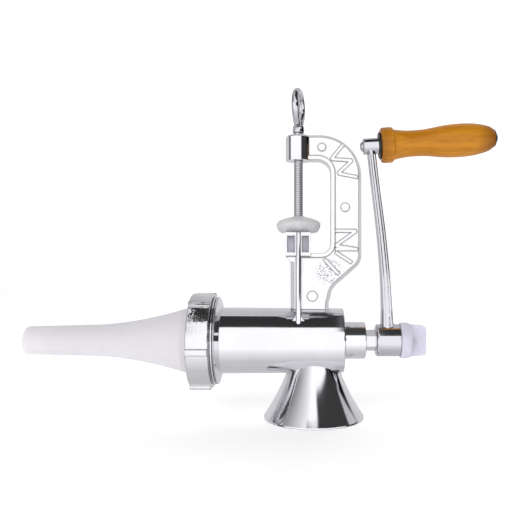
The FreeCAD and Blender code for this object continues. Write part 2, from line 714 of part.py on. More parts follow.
def grip_and_spindle():
    washer, end, bore = "washer_thickness", "grip_end", "spindle_radius + running_clearance"
    wood = f"{washer} + 0.15"
    keep(on_grip_axis(turned("wooden_grip", [
        (wood, bore),
        (wood, "grip_collar_radius - 2.4"),
        (f"{wood} + 2.4", "grip_collar_radius", "2.4"),
        ("10.0", "grip_collar_radius"),
        ("12.0", "grip_collar_radius - 2", "2.2"),
        ("28.5", "grip_waist_radius", "-76"),
        ("50", "grip_waist_radius + 1.9", "-110"),
        ("70", "grip_belly_radius", "130"),
        ("90", "grip_belly_radius - 2.9", "72"),
        (f"{end} - 0.15", "grip_end_radius", "14"),
        (f"{end} - 0.15", bore)])), "wooden_grip")
    keep(on_grip_axis(turned("grip_inner_washer", ring("0", washer, "spindle_radius", "11"))),
         "grip_inner_washer")
    keep(on_grip_axis(turned("grip_outer_washer", ring(end, f"{end} + 0.8", "spindle_radius", "7.2"))),
         "grip_outer_washer")
    keep(on_grip_axis(turned("handle_spindle", [
        ("-head_length - 2.4", "0"),
        ("-head_length - 2.4", "1.2"),
        ("-head_length - 0.6", "4.2", "3"),
        ("-head_length", "4.2"),
        ("-head_length", "spindle_radius"),
        (f"{end} + 0.8", "spindle_radius"),
        (f"{end} + 0.8", "6.3"),
        (f"{end} + 3.4", "2.4", "7.5"),
        (f"{end} + 3.4", "0")])), "handle_spindle")


def thumb_screw():
    """Steel stud with a white wing head: a round base that becomes a flat, slightly tapered grip."""
    base = on_barrel_axis(turned("thumb_base", [
        ("hub_rear_x", "0"),
        ("hub_rear_x", "thumb_radius - 0.8"),
        ("hub_rear_x + 0.8", "thumb_radius", "0.8"),
        ("hub_rear_x + thumb_base_length - 3", "thumb_radius"),
        ("hub_rear_x + thumb_base_length", "thumb_radius - 4", "5"),
        ("hub_rear_x + thumb_base_length", "0")]))
    wing = extruded("thumb_wing", free_sketch("thumb_wing_outline", [
        ("hub_rear_x + 2", "axis_height - thumb_radius + 1"),
        ("thumb_end_x - 3", "axis_height - thumb_wing_half_height"),
        ("thumb_end_x", "axis_height - thumb_wing_half_height + 3", "-3"),
        ("thumb_end_x", "axis_height + thumb_wing_half_height - 3"),
        ("thumb_end_x - 3", "axis_height + thumb_wing_half_height", "-3"),
        ("hub_rear_x + 2", "axis_height + thumb_radius - 1")]), "thumb_wing_half_thickness")
    hole = cylinder("thumb_hole", "stud_radius", "stud_rear_x - hub_rear_x + 1",
                    ("hub_rear_x - 1", "0", "axis_height"), Vector(1, 0, 0))
    keep(cut("thumb_head", fused("thumb_solid", [base, wing]), [hole]), "thumb_screw_head")
    keep(on_barrel_axis(turned("thumb_stud", [
        ("stud_front_x", "0"), ("stud_front_x", "stud_radius - 0.8"), ("stud_front_x + 0.8", "stud_radius"),
        ("stud_rear_x", "stud_radius"), ("stud_rear_x", "0")])), "thumb_screw_stud")


# ---------------------------------------------------------------- table clamp

def clamp_pad():
    """Domed plastic pad with a ribbed edge, turned about the screw's axis from its flat foot upwards."""
    body = turned("clamp_pad", [
        ("0", "7.2"),
        ("0", "pad_foot_radius"),
        ("6.6", "pad_radius - 0.5"),
        ("8.6", "pad_radius - 0.5", "1.6"),
        ("pad_height", "5", "12"),
        ("pad_height", "screw_radius + running_clearance"),
        ("5.4", "screw_radius + running_clearance"),
        ("5.4", "2.6"),
        ("3.2", "2.6"),
        ("3.2", "7.2")])
    rib = body.newObject("PartDesign::Pad", "edge_rib")
    rib.Profile = body_sketch(body, "edge_rib_outline", "YZ_Plane", [
        ("-0.6", "pad_radius - 1.4"), ("0.6", "pad_radius - 1.4"),
        ("0.35", "pad_radius"), ("-0.35", "pad_radius")])
    rib.Length = 2
    bind(rib.Profile[0], AttachmentOffset__Base__z="6.6")
    doc.recompute()
    pattern = body.newObject("PartDesign::PolarPattern", "edge_ribs")
    pattern.Originals = [rib]
    pattern.Axis = (next(axis for axis in body.Origin.OriginFeatures if axis.Role == "X_Axis"), [""])
    pattern.Angle = 360
    pattern.Occurrences = PAD_RIB_COUNT
    body.Tip = pattern
    keep(on_screw_axis(body, "jaw_top_z + pad_gap"), "clamp_pad")


def clamp_screw():
    foot = "jaw_top_z + pad_gap"
    keep(on_screw_axis(turned("clamp_screw", [
        ("1.0", "0"), ("1.0", "2.5"), ("5.6", "2.5"), ("5.6", "screw_radius - 0.5"), ("6.1", "screw_radius"),
        (f"screw_top_z - ({foot})", "screw_radius"), (f"screw_top_z - ({foot})", "0")]), foot), "clamp_screw")
    keep(on_screw_axis(turned("pad_retainer", ring("1.3", "2.9", "2.5", "6.4")), foot), "pad_retainer")


def screw_handle():
    """Egg-shaped eye on a short collar, pressed on the screw's top and turned almost edge-on to the front."""
    width, foot, height = "eye_half_width", "eye_foot_half_width", "eye_height"
    centre, hole_width = "(eye_height - eye_half_width)", "(eye_half_width - 6)"
    outside = extruded("eye_outside", free_sketch("eye_outline", [
        (f"-{foot}", "0", "-30"),
        (foot, "0"),
        (width, centre, "-30"),
        ("0", height, f"-{width}"),
        (f"-{width}", centre, f"-{width}")]), "eye_half_thickness")
    hole = extruded("eye_hole", free_sketch("eye_hole_outline", [
        ("-4", "7.5", "-14"),
        ("4", "7.5", "-12"),
        (hole_width, centre, "-14"),
        ("0", f"{centre} + {hole_width}", f"-{hole_width}"),
        (f"-{hole_width}", centre, f"-{hole_width}")]), "eye_half_thickness + 1")
    collar = cylinder("eye_collar", "5", "5.4", ("0", "0", "-4.4"))
    screw_hole = cylinder("eye_screw_hole", "screw_radius", "screw_top_z - eye_bottom_z + 6",
                          ("0", "0", "-6"))
    eye = cut("eye", fused("eye_solid", [outside, collar]), [hole, screw_hole])
    eye.Placement.Rotation = Rotation(Vector(0, 0, 1), value("eye_turn"))
    keep(bind(eye, Placement__Base__x="screw_x", Placement__Base__z="eye_bottom_z"), "screw_handle")


body_casting()
barrel_contents()
stuffing_tube()
ring_nut()
crank_arm()
grip_and_spindle()
thumb_screw()
clamp_pad()
clamp_screw()
screw_handle()
doc.recompute()

for item in doc.Objects:
    if "Invalid" in item.State or "Error" in item.State:
        raise RuntimeError(f"{item.Label}: {item.State}")
for item in nodes:
    if item.Shape.isNull() or not item.Shape.isValid() or not item.Shape.Solids:
        raise RuntimeError(f"{item.Label} has no sound shape")

os.makedirs("parts", exist_ok=True)
for item in nodes:
    item.Shape.exportStep(f"parts/{item.Label}.step")
    print(f"{item.Label}: {len(item.Shape.Solids)} solid(s), {item.Shape.Volume / 1000:.2f} cm3")
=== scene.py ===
"""Looks of a hand-cranked sausage stuffer that stands on the rim of its hopper.

Everything is in metres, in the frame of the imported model: +Z is up, the barrel lies along X with the stuffing
tube towards -X, and the front is the -Y side.  Nodes whose shape is right keep their mesh and get a finish;
threads, moulded corners and rounded forgings are new pieces that stand for their nodes.
"""

import json
import logging
import math
from dataclasses import dataclass
from enum import Enum, IntEnum
from typing import Any, Mapping, Sequence

import bmesh
import bpy
from mathutils import Matrix, Vector

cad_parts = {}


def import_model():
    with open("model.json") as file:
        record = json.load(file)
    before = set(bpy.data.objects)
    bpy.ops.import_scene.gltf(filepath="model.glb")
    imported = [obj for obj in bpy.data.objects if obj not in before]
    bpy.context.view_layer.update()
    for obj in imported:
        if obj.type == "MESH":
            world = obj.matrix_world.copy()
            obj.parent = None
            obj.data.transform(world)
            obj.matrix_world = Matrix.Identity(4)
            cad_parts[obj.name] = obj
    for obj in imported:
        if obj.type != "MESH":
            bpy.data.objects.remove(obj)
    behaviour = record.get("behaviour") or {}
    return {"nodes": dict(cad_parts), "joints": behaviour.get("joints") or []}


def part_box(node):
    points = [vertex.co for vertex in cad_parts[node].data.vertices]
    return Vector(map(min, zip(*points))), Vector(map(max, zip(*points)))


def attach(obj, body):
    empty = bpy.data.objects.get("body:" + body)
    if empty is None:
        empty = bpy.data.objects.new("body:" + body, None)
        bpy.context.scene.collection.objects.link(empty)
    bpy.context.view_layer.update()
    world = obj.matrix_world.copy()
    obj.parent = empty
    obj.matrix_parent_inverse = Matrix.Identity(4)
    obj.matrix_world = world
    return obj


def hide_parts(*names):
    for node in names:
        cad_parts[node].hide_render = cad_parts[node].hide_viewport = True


LOG = logging.getLogger("sausage_stuffer")
MM = 0.001
Rgba = tuple[float, float, float, float]
Place = tuple[float, float, float]
Node = bpy.types.Node
Tree = bpy.types.NodeTree
Socket = bpy.types.NodeSocket
Piece = bpy.types.Object
Mesh = bpy.types.Mesh
MERGE = 0.002 * MM
ROUNDED_SHARP = 40.0


# ------------------------------------------------------------------ colours and nodes

def linear(code: str) -> Rgba:
    """Turn an sRGB hex code into a linear colour.

    Args:
        code: Six hex digits, such as "c98a2b".

    Returns:
        Linear red, green and blue, and an alpha of 1.
    """
    channels = [int(code[start:start + 2], 16) / 255 for start in (0, 2, 4)]
    red, green, blue = (c / 12.92 if c <= 0.04045 else ((c + 0.055) / 1.055) ** 2.4 for c in channels)
    return red, green, blue, 1.0


def add(tree: Tree, kind: str, settings: Mapping[str, Any] | None = None,
        links: Mapping[str | int, Any] | None = None) -> Node:
    """Add a node with its settings and links.

    Args:
        tree: The tree that gets the node.
        kind: Blender's name of the node type.
        settings: Properties of the node by name.
        links: For each input, by name or number, either a socket to link or a value to set.

    Returns:
        The new node.
    """
    node = tree.nodes.new(kind)
    for name, value in (settings or {}).items():
        setattr(node, name, value)
    for key, value in (links or {}).items():
        if isinstance(value, Socket):
            tree.links.new(value, node.inputs[key])
        else:
            node.inputs[key].default_value = value
    return node


# ------------------------------------------------------------------ finishes

class Surface(Enum):
    """How a metal surface was made, which decides the marks that it shows."""

    POLISHED = "polished"
    SATIN = "satin"
    PLATED = "plated"
    TURNED = "turned"


@dataclass(frozen=True)
class Finish:
    """A material made from nodes.

    Attributes:
        name: The material's name.
        colour: sRGB hex of the surface's own colour.
        roughness: Roughness where the surface is cleanest.
    """

    name: str
    colour: str
    roughness: float

    def material(self) -> bpy.types.Material:
        """Make the finish's material on its first use.

        Returns:
            The material.
        """
        found = bpy.data.materials.get(self.name)
        if found:
            return found
        made = bpy.data.materials.new(self.name)
        made.use_nodes = True
        tree = made.node_tree
        shader = tree.nodes["Principled BSDF"]
        shader.inputs["Roughness"].default_value = self.roughness
        shader.inputs["Base Color"].default_value = linear(self.colour)
        made.diffuse_color = linear(self.colour)
        self.detail(tree, shader, add(tree, "ShaderNodeTexCoord").outputs["Object"])
        return made

    def detail(self, tree: Tree, shader: Node, place: Socket) -> None:
        """Add the marks of the real surface.

        Args:
            tree: The material's tree.
            shader: Its Principled shader.
            place: Object coordinates, in metres.
        """
        raise NotImplementedError


@dataclass(frozen=True)
class Metal(Finish):
    """Bare or plated metal.

    Attributes:
        surface: How it was made.
        roughness_worn: Roughness where it is most handled or stained.
        ripple_mm: Size of the gentle waves that polishing or casting leaves.
        ripple_depth_mm: Their height.
        grain_mm: Size of the fine marks.
        grain_depth_mm: Their height.
        edge_mm: Radius that the eye reads on its edges.
        edge_wear_and_shade_tone: sRGB hex of its edges: a light tone stands for rubbing, a dark tone is painted
            shade along them.
        edge_share: How far the edges take that tone, from 0 to 1.
        edge_reach: Cosines of the bend at which the tone is full and at which it is gone.
        corner_shade: Share of the light that painted shade takes away in corners and grooves.
        corner_shade_mm: How wide a corner still gets painted shade.
        corner_shade_reach: Openness of a corner at which the painted shade is full and at which it is gone.
        corner_shade_colour: sRGB hex of the painted shade.
        stain_mm: Size of the patches that are more handled than others.
        stain_band: Range of the stain's noise over which the roughness changes.
        dulled: What a stain leaves of the colour's brightness.
        turned_stretch: How much finer a tool's marks are along each axis.
    """

    surface: Surface = Surface.POLISHED
    roughness_worn: float = 0.25
    ripple_mm: float = 18.0
    ripple_depth_mm: float = 0.05
    grain_mm: float = 0.8
    grain_depth_mm: float = 0.004
    edge_mm: float = 0.6
    edge_wear_and_shade_tone: str = "f6f6f8"
    edge_share: float = 0.55
    edge_reach: tuple[float, float] = (0.80, 0.99)
    corner_shade: float = 0.2
    corner_shade_mm: float = 1.5
    corner_shade_reach: tuple[float, float] = (0.35, 0.9)
    corner_shade_colour: str = "1d1d1f"
    stain_mm: float = 26.0
    stain_band: tuple[float, float] = (0.35, 0.75)
    dulled: float = 0.86
    turned_stretch: tuple[float, float, float] = (6.0, 0.4, 0.4)

    def detail(self, tree: Tree, shader: Node, place: Socket) -> None:
        """Add ripples, grain, stains and softened edges to a metal, tone its edges (light tones stand for
        rubbing, dark tones are painted shade lines), and paint shade into its corners.

        Args:
            tree: The material's tree.
            shader: Its Principled shader.
            place: Object coordinates, in metres.
        """
        shader.inputs["Metallic"].default_value = 1.0
        stain = add(tree, "ShaderNodeTexNoise", None,
                    {"Vector": place, "Scale": 1 / (self.stain_mm * MM), "Detail": 4.0, "Roughness": 0.6})
        rough = add(tree, "ShaderNodeMapRange", None,
                    {"Value": stain.outputs["Fac"], "From Min": self.stain_band[0],
                     "From Max": self.stain_band[1], "To Min": self.roughness,
                     "To Max": self.roughness_worn})
        tree.links.new(rough.outputs["Result"], shader.inputs["Roughness"])
        bare = linear(self.colour)
        dull = tuple(channel * self.dulled for channel in bare[:3]) + (1.0,)
        tone = add(tree, "ShaderNodeMix", {"data_type": "RGBA"},
                   {0: stain.outputs["Fac"], 6: bare, 7: dull})
        rounded = add(tree, "ShaderNodeBevel", {"samples": 4}, {"Radius": self.edge_mm * MM})
        flat = add(tree, "ShaderNodeNewGeometry")
        facing = add(tree, "ShaderNodeVectorMath", {"operation": "DOT_PRODUCT"},
                     {0: rounded.outputs["Normal"], 1: flat.outputs["Normal"]})
        # Edge tone: light tones stand for rubbing; dark tones are painted shade lines along the edges.
        edge_wear_and_shade = add(tree, "ShaderNodeMapRange", None,
                   {"Value": facing.outputs["Value"], "From Min": self.edge_reach[0],
                    "From Max": self.edge_reach[1], "To Min": self.edge_share, "To Max": 0.0})
        bright = add(tree, "ShaderNodeMix", {"data_type": "RGBA"},
                     {0: edge_wear_and_shade.outputs["Result"], 6: tone.outputs[2], 7: linear(self.edge_wear_and_shade_tone)})
        # Painted shade: corners that ambient occlusion finds darken towards a near-black tone.
        corner = add(tree, "ShaderNodeAmbientOcclusion", {"samples": 6}, {"Distance": self.corner_shade_mm * MM})
        open_share = add(tree, "ShaderNodeMapRange", None,
                         {"Value": corner.outputs["AO"], "From Min": self.corner_shade_reach[0],
                          "From Max": self.corner_shade_reach[1], "To Min": self.corner_shade, "To Max": 0.0})
        corner_shaded = add(tree, "ShaderNodeMix", {"data_type": "RGBA"},
                    {0: open_share.outputs["Result"], 6: bright.outputs[2], 7: linear(self.corner_shade_colour)})
        tree.links.new(corner_shaded.outputs[2], shader.inputs["Base Color"])
        ripple = add(tree, "ShaderNodeTexNoise", None,
                     {"Vector": place, "Scale": 1 / (self.ripple_mm * MM), "Detail": 1.0})
        waved = add(tree, "ShaderNodeBump", None,
                    {"Height": ripple.outputs["Fac"], "Distance": self.ripple_depth_mm * MM,
                     "Strength": 1.0, "Normal": rounded.outputs["Normal"]})
        marks = self.marks(tree, place)
        grained = add(tree, "ShaderNodeBump", None,
                      {"Height": marks, "Distance": self.grain_depth_mm * MM, "Strength": 1.0,
                       "Normal": waved.outputs["Normal"]})
        tree.links.new(grained.outputs["Normal"], shader.inputs["Normal"])

    def marks(self, tree: Tree, place: Socket) -> Socket:
        """Make the height of the fine marks.

        Args:
            tree: The material's tree.
            place: Object coordinates, in metres.

        Returns:
            A socket with the height, from 0 to 1.
        """
        scale = 1 / (self.grain_mm * MM)
        if self.surface is Surface.SATIN:
            pits = add(tree, "ShaderNodeTexVoronoi", {"feature": "F1"}, {"Vector": place, "Scale": scale})
            return pits.outputs["Distance"]
        if self.surface is Surface.TURNED:
            along = add(tree, "ShaderNodeMapping", {"vector_type": "POINT"},
                        {"Vector": place, "Scale": self.turned_stretch})
            lines = add(tree, "ShaderNodeTexNoise", None,
                        {"Vector": along.outputs["Vector"], "Scale": scale, "Detail": 3.0})
            return lines.outputs["Fac"]
        dust = add(tree, "ShaderNodeTexNoise", None, {"Vector": place, "Scale": scale, "Detail": 6.0})
        return dust.outputs["Fac"]


@dataclass(frozen=True)
class PittedCasting(Metal):
    """A bright casting with a patch where the die left it pitted.

    Attributes:
        patch: Centre of the pitted patch.
        patch_radius: Its radius.
        pit_mm: Distance between its pits.
        pit_depth_mm: Their depth.
        pit_band: Shares of pit_mm from a pit's centre at which it is deepest and at which it ends.
        pit_tone: sRGB hex that the pits darken to.
        clear_share: Share of the radius inside which the patch is full.
        relief_from: Distance from the middle plane at which the raised strips begin, which have no pits.
    """

    patch: tuple[float, float, float] = (0.0, 0.0, 0.0)
    patch_radius: float = 0.012
    pit_mm: float = 1.3
    pit_depth_mm: float = 0.07
    pit_band: tuple[float, float] = (0.25, 0.5)
    pit_tone: str = "8f8d9a"
    clear_share: float = 0.55
    relief_from: float = 0.0068

    def detail(self, tree: Tree, shader: Node, place: Socket) -> None:
        """Add the metal's marks, and a grey, pitted patch that fades out.

        Args:
            tree: The material's tree.
            shader: Its Principled shader.
            place: Object coordinates, in metres.
        """
        super().detail(tree, shader, place)
        away = add(tree, "ShaderNodeVectorMath", {"operation": "DISTANCE"}, {0: place, 1: self.patch})
        fade = add(tree, "ShaderNodeMapRange", {"interpolation_type": "SMOOTHSTEP"},
                   {"Value": away.outputs["Value"], "From Min": self.patch_radius * self.clear_share,
                    "From Max": self.patch_radius, "To Min": 1.0, "To Max": 0.0})
        pits = add(tree, "ShaderNodeTexVoronoi", {"feature": "F1"},
                   {"Vector": place, "Scale": 1 / (self.pit_mm * MM), "Randomness": 1.0})
        dots = add(tree, "ShaderNodeMapRange", None,
                   {"Value": pits.outputs["Distance"], "From Min": self.pit_band[0],
                    "From Max": self.pit_band[1], "To Min": 1.0, "To Max": 0.0})
        depth = add(tree, "ShaderNodeMath", {"operation": "ABSOLUTE"},
                    {0: add(tree, "ShaderNodeSeparateXYZ", None, {0: place}).outputs["Y"]})
        ground = add(tree, "ShaderNodeMath", {"operation": "LESS_THAN"},
                     {0: depth.outputs[0], 1: self.relief_from})
        rough_part = add(tree, "ShaderNodeMath", {"operation": "MULTIPLY"},
                         {0: fade.outputs["Result"], 1: ground.outputs[0]})
        shade = add(tree, "ShaderNodeMath", {"operation": "MULTIPLY"},
                    {0: rough_part.outputs[0], 1: dots.outputs["Result"]})
        base = shader.inputs["Base Color"].links[0].from_socket
        dark = add(tree, "ShaderNodeMix", {"data_type": "RGBA"},
                   {0: shade.outputs["Value"], 6: base, 7: linear(self.pit_tone)})
        tree.links.new(dark.outputs[2], shader.inputs["Base Color"])
        normal = shader.inputs["Normal"].links[0].from_socket
        dented = add(tree, "ShaderNodeBump", {"invert": True},
                     {"Height": shade.outputs["Value"], "Distance": self.pit_depth_mm * MM, "Strength": 1.0,
                      "Normal": normal})
        tree.links.new(dented.outputs["Normal"], shader.inputs["Normal"])


@dataclass(frozen=True)
class RunIn(Metal):
    """A cast shaft that its bearing has rubbed bright beyond one place along X.

    Attributes:
        bright_from: Where the bright part begins.
        fade_mm: How far the rubbing fades before that place and how far after it.
        rubbed: sRGB hex of the bright part.
        rubbed_roughness: Roughness of the bright part.
    """

    bright_from: float = 0.0
    fade_mm: tuple[float, float] = (1.0, 2.0)
    rubbed: str = "e4e4e6"
    rubbed_roughness: float = 0.12

    def detail(self, tree: Tree, shader: Node, place: Socket) -> None:
        """Add the metal's marks, and the bright part.

        Args:
            tree: The material's tree.
            shader: Its Principled shader.
            place: Object coordinates, in metres.
        """
        super().detail(tree, shader, place)
        along = add(tree, "ShaderNodeSeparateXYZ", None, {0: place})
        worn = add(tree, "ShaderNodeMapRange", {"interpolation_type": "SMOOTHSTEP"},
                   {"Value": along.outputs["X"], "From Min": self.bright_from - self.fade_mm[0] * MM,
                    "From Max": self.bright_from + self.fade_mm[1] * MM})
        tone = add(tree, "ShaderNodeMix", {"data_type": "RGBA"},
                   {0: worn.outputs["Result"], 6: shader.inputs["Base Color"].links[0].from_socket,
                    7: linear(self.rubbed)})
        rough = add(tree, "ShaderNodeMix", {"data_type": "FLOAT"},
                    {0: worn.outputs["Result"], 2: shader.inputs["Roughness"].links[0].from_socket,
                     3: self.rubbed_roughness})
        tree.links.new(tone.outputs[2], shader.inputs["Base Color"])
        tree.links.new(rough.outputs[0], shader.inputs["Roughness"])


@dataclass(frozen=True)
class Plastic(Finish):
    """A moulded plastic.

    Attributes:
        depth_mm: How far light travels inside it.
        scatter: Share of the light that enters it.
        mottle: How much its colour clouds, from 0 to 1.
        grain_mm: Size of the texture that the mould left.
        grain_depth_mm: Its height.
        cloud_mm: Size of the clouds in its colour.
        cloud_band: Range of the clouds' noise over which the colour changes.
        gloss_spread: Shares of the roughness where it is smoothest and where it is roughest.
        ior: Refractive index, typical of such plastics.
    """

    depth_mm: float = 3.0
    scatter: float = 0.4
    mottle: float = 0.1
    grain_mm: float = 1.2
    grain_depth_mm: float = 0.02
    cloud_mm: float = 7.0
    cloud_band: tuple[float, float] = (0.35, 0.7)
    gloss_spread: tuple[float, float] = (0.85, 1.2)
    ior: float = 1.49

    def detail(self, tree: Tree, shader: Node, place: Socket) -> None:
        """Add clouding, a faint mould texture and light inside the plastic.

        Args:
            tree: The material's tree.
            shader: Its Principled shader.
            place: Object coordinates, in metres.
        """
        shader.inputs["IOR"].default_value = self.ior
        shader.inputs["Subsurface Weight"].default_value = self.scatter
        shader.inputs["Subsurface Scale"].default_value = self.depth_mm * MM
        shader.inputs["Subsurface Radius"].default_value = (1.0, 0.95, 1.0)
        clean = linear(self.colour)
        dull = tuple(channel * (1 - self.mottle) for channel in clean[:3]) + (1.0,)
        cloud = add(tree, "ShaderNodeTexNoise", None,
                    {"Vector": place, "Scale": 1 / (self.cloud_mm * MM), "Detail": 5.0, "Roughness": 0.65})
        spread = add(tree, "ShaderNodeMapRange", None,
                     {"Value": cloud.outputs["Fac"], "From Min": self.cloud_band[0],
                      "From Max": self.cloud_band[1]})
        tone = add(tree, "ShaderNodeMix", {"data_type": "RGBA"},
                   {0: spread.outputs["Result"], 6: clean, 7: dull})
        tree.links.new(tone.outputs[2], shader.inputs["Base Color"])
        rough = add(tree, "ShaderNodeMapRange", None,
                    {"Value": cloud.outputs["Fac"], "To Min": self.roughness * self.gloss_spread[0],
                     "To Max": self.roughness * self.gloss_spread[1]})
        tree.links.new(rough.outputs["Result"], shader.inputs["Roughness"])
        skin = add(tree, "ShaderNodeTexNoise", None,
                   {"Vector": place, "Scale": 1 / (self.grain_mm * MM), "Detail": 2.0})
        bump = add(tree, "ShaderNodeBump", None,
                   {"Height": skin.outputs["Fac"], "Distance": self.grain_depth_mm * MM, "Strength": 1.0})
        tree.links.new(bump.outputs["Normal"], shader.inputs["Normal"])


@dataclass(frozen=True)
class Varnished(Finish):
    """Turned beech under a glossy orange varnish.

    Attributes:
        tilt: Angle of the grain above the X axis, in radians.
        late_wood: sRGB hex of the darker streaks.
        streak_mm: Width of those streaks.
        streak_band: Range of their noise over which the wood darkens.
        pore_mm: Distance between the pores across the grain.
        pore_depth_mm: Their depth.
        pore_band: Range of their noise over which a pore darkens.
        pore_share: How far a pore takes the pooled varnish's tone.
        along_share: How much longer every mark is along the grain, as a scale.
        pool: sRGB hex where the varnish is thick.
        ends: Where the grip begins and ends along X.
        pool_reach: How far the thick varnish reaches from each end.
        pool_share: How far each end takes its tone.
        coat: Weight and roughness of the clear coat.
    """

    tilt: float = 0.0
    late_wood: str = "b87412"
    streak_mm: float = 4.5
    streak_band: tuple[float, float] = (0.38, 0.66)
    pore_mm: float = 1.1
    pore_depth_mm: float = 0.03
    pore_band: tuple[float, float] = (0.52, 0.72)
    pore_share: float = 0.35
    along_share: float = 0.06
    pool: str = "7d4706"
    ends: tuple[float, float] = (0.0, 0.1)
    pool_reach: tuple[float, float] = (0.014, 0.02)
    pool_share: tuple[float, float] = (0.5, 0.75)
    coat: tuple[float, float] = (0.2, 0.2)

    def detail(self, tree: Tree, shader: Node, place: Socket) -> None:
        """Add long streaks, pores, pooled varnish at the ends and a clear coat.

        Args:
            tree: The material's tree.
            shader: Its Principled shader.
            place: Object coordinates, in metres.
        """
        shader.inputs["IOR"].default_value = 1.5
        shader.inputs["Specular IOR Level"].default_value = 0.2
        shader.inputs["Coat Weight"].default_value, shader.inputs["Coat Roughness"].default_value = self.coat
        along = add(tree, "ShaderNodeMapping", {"vector_type": "POINT"},
                    {"Vector": place, "Rotation": (0.0, self.tilt, 0.0),
                     "Scale": (self.along_share, 1.0, 1.0)})
        streak = add(tree, "ShaderNodeTexNoise", None,
                     {"Vector": along.outputs["Vector"], "Scale": 1 / (self.streak_mm * MM), "Detail": 6.0,
                      "Roughness": 0.55, "Distortion": 0.3})
        pores = add(tree, "ShaderNodeTexNoise", None,
                    {"Vector": along.outputs["Vector"], "Scale": 1 / (self.pore_mm * MM), "Detail": 3.0})
        spread = add(tree, "ShaderNodeMapRange", None,
                     {"Value": streak.outputs["Fac"], "From Min": self.streak_band[0],
                      "From Max": self.streak_band[1]})
        wood = add(tree, "ShaderNodeMix", {"data_type": "RGBA"},
                   {0: spread.outputs["Result"], 6: linear(self.colour), 7: linear(self.late_wood)})
        across = add(tree, "ShaderNodeSeparateXYZ", None, {0: place})
        first = add(tree, "ShaderNodeMapRange", {"interpolation_type": "SMOOTHSTEP"},
                    {"Value": across.outputs["X"], "From Min": self.ends[0],
                     "From Max": self.ends[0] + self.pool_reach[0], "To Min": self.pool_share[0],
                     "To Max": 0.0})
        last = add(tree, "ShaderNodeMapRange", {"interpolation_type": "SMOOTHSTEP"},
                   {"Value": across.outputs["X"], "From Min": self.ends[1] - self.pool_reach[1],
                    "From Max": self.ends[1], "To Min": 0.0, "To Max": self.pool_share[1]})
        pooled = add(tree, "ShaderNodeMath", {"operation": "MAXIMUM"},
                     {0: first.outputs["Result"], 1: last.outputs["Result"]})
        tone = add(tree, "ShaderNodeMix", {"data_type": "RGBA"},
                   {0: pooled.outputs["Value"], 6: wood.outputs[2], 7: linear(self.pool)})
        specks = add(tree, "ShaderNodeMapRange", None,
                     {"Value": pores.outputs["Fac"], "From Min": self.pore_band[0],
                      "From Max": self.pore_band[1], "To Min": 0.0, "To Max": self.pore_share})
        grained = add(tree, "ShaderNodeMix", {"data_type": "RGBA"},
                      {0: specks.outputs["Result"], 6: tone.outputs[2], 7: linear(self.pool)})
        tree.links.new(grained.outputs[2], shader.inputs["Base Color"])
        bump = add(tree, "ShaderNodeBump", {"invert": True},
                   {"Height": pores.outputs["Fac"], "Distance": self.pore_depth_mm * MM, "Strength": 1.0})
        tree.links.new(bump.outputs["Normal"], shader.inputs["Normal"])


# Tumbled and buffed aluminium die casting: a mirror that bends reflections a little.
BRIGHT_CASTING = Metal("buffed_cast_aluminium", "f0f0f3", 0.06, surface=Surface.POLISHED,
                       roughness_worn=0.14, ripple_mm=16, ripple_depth_mm=0.035, grain_mm=0.9,
                       grain_depth_mm=0.003, edge_mm=0.5)
# The frame's faces come bright but soft from the die, with a pitted patch on the lower bend; painted black
# shade lines run along its edges and painted shade darkens its corners.
FRAME_CASTING = PittedCasting("die_bright_aluminium", "f6f6f6", 0.16, surface=Surface.SATIN,
                              roughness_worn=0.26, ripple_mm=9, ripple_depth_mm=0.02, grain_mm=1.0,
                              grain_depth_mm=0.008, edge_mm=1.1, edge_wear_and_shade_tone="232326", edge_share=1.0,
                              edge_reach=(0.93, 0.999), corner_shade=0.85,
                              patch=(0.0125, -0.006, 0.122), patch_radius=0.0135)
# The ring nut's outside is only barrelled, so it sparkles with small pits; painted black shade lines run along
# its edges.
RING_CASTING = Metal("barrelled_cast_aluminium", "ededee", 0.09, surface=Surface.SATIN,
                     roughness_worn=0.18, ripple_mm=9, ripple_depth_mm=0.03, grain_mm=1.7,
                     grain_depth_mm=0.07, edge_mm=0.8, edge_wear_and_shade_tone="1e1e20", edge_share=0.95,
                     edge_reach=(0.86, 0.97))
# The rib is ground by hand, so its rounded edges mirror dark lines, deepened by painted dark shade lines, and
# painted shade darkens its corners.
GROUND_RIB = Metal("hand_ground_aluminium", "f0f0f2", 0.1, surface=Surface.POLISHED, roughness_worn=0.2,
                   ripple_mm=11, ripple_depth_mm=0.06, grain_mm=0.8, grain_depth_mm=0.004, edge_mm=1.3,
                   edge_wear_and_shade_tone="39393c", edge_share=0.95, edge_reach=(0.9, 0.998), corner_shade=0.6)
# The jaw's pockets are left as cast; their faint lilac tint and lilac-grey edge lines are painted shade, so
# they look lilac-grey and flat in the light.
POCKET = Metal("as_cast_pocket", "f1eef8", 0.5, surface=Surface.SATIN, roughness_worn=0.6, ripple_mm=6,
               ripple_depth_mm=0.05, grain_mm=1.1, grain_depth_mm=0.03, edge_mm=0.8, edge_wear_and_shade_tone="6e6c74",
               edge_share=0.9)
# The feed screw and its support stay as cast: pale grey, soft and slightly rough.
AS_CAST = Metal("as_cast_aluminium", "b9babd", 0.38, surface=Surface.SATIN, roughness_worn=0.55,
                grain_mm=1.2, grain_depth_mm=0.02)
# The feed screw is as cast too, but runs bright where the boss and the crank rub it; painted dark shade lines
# run along its edges.
RUN_IN = RunIn("run_in_cast_aluminium", "b9babd", 0.38, surface=Surface.SATIN, roughness_worn=0.55,
               grain_mm=1.2, grain_depth_mm=0.02, edge_wear_and_shade_tone="2c2c2e", edge_share=0.8, bright_from=0.016)
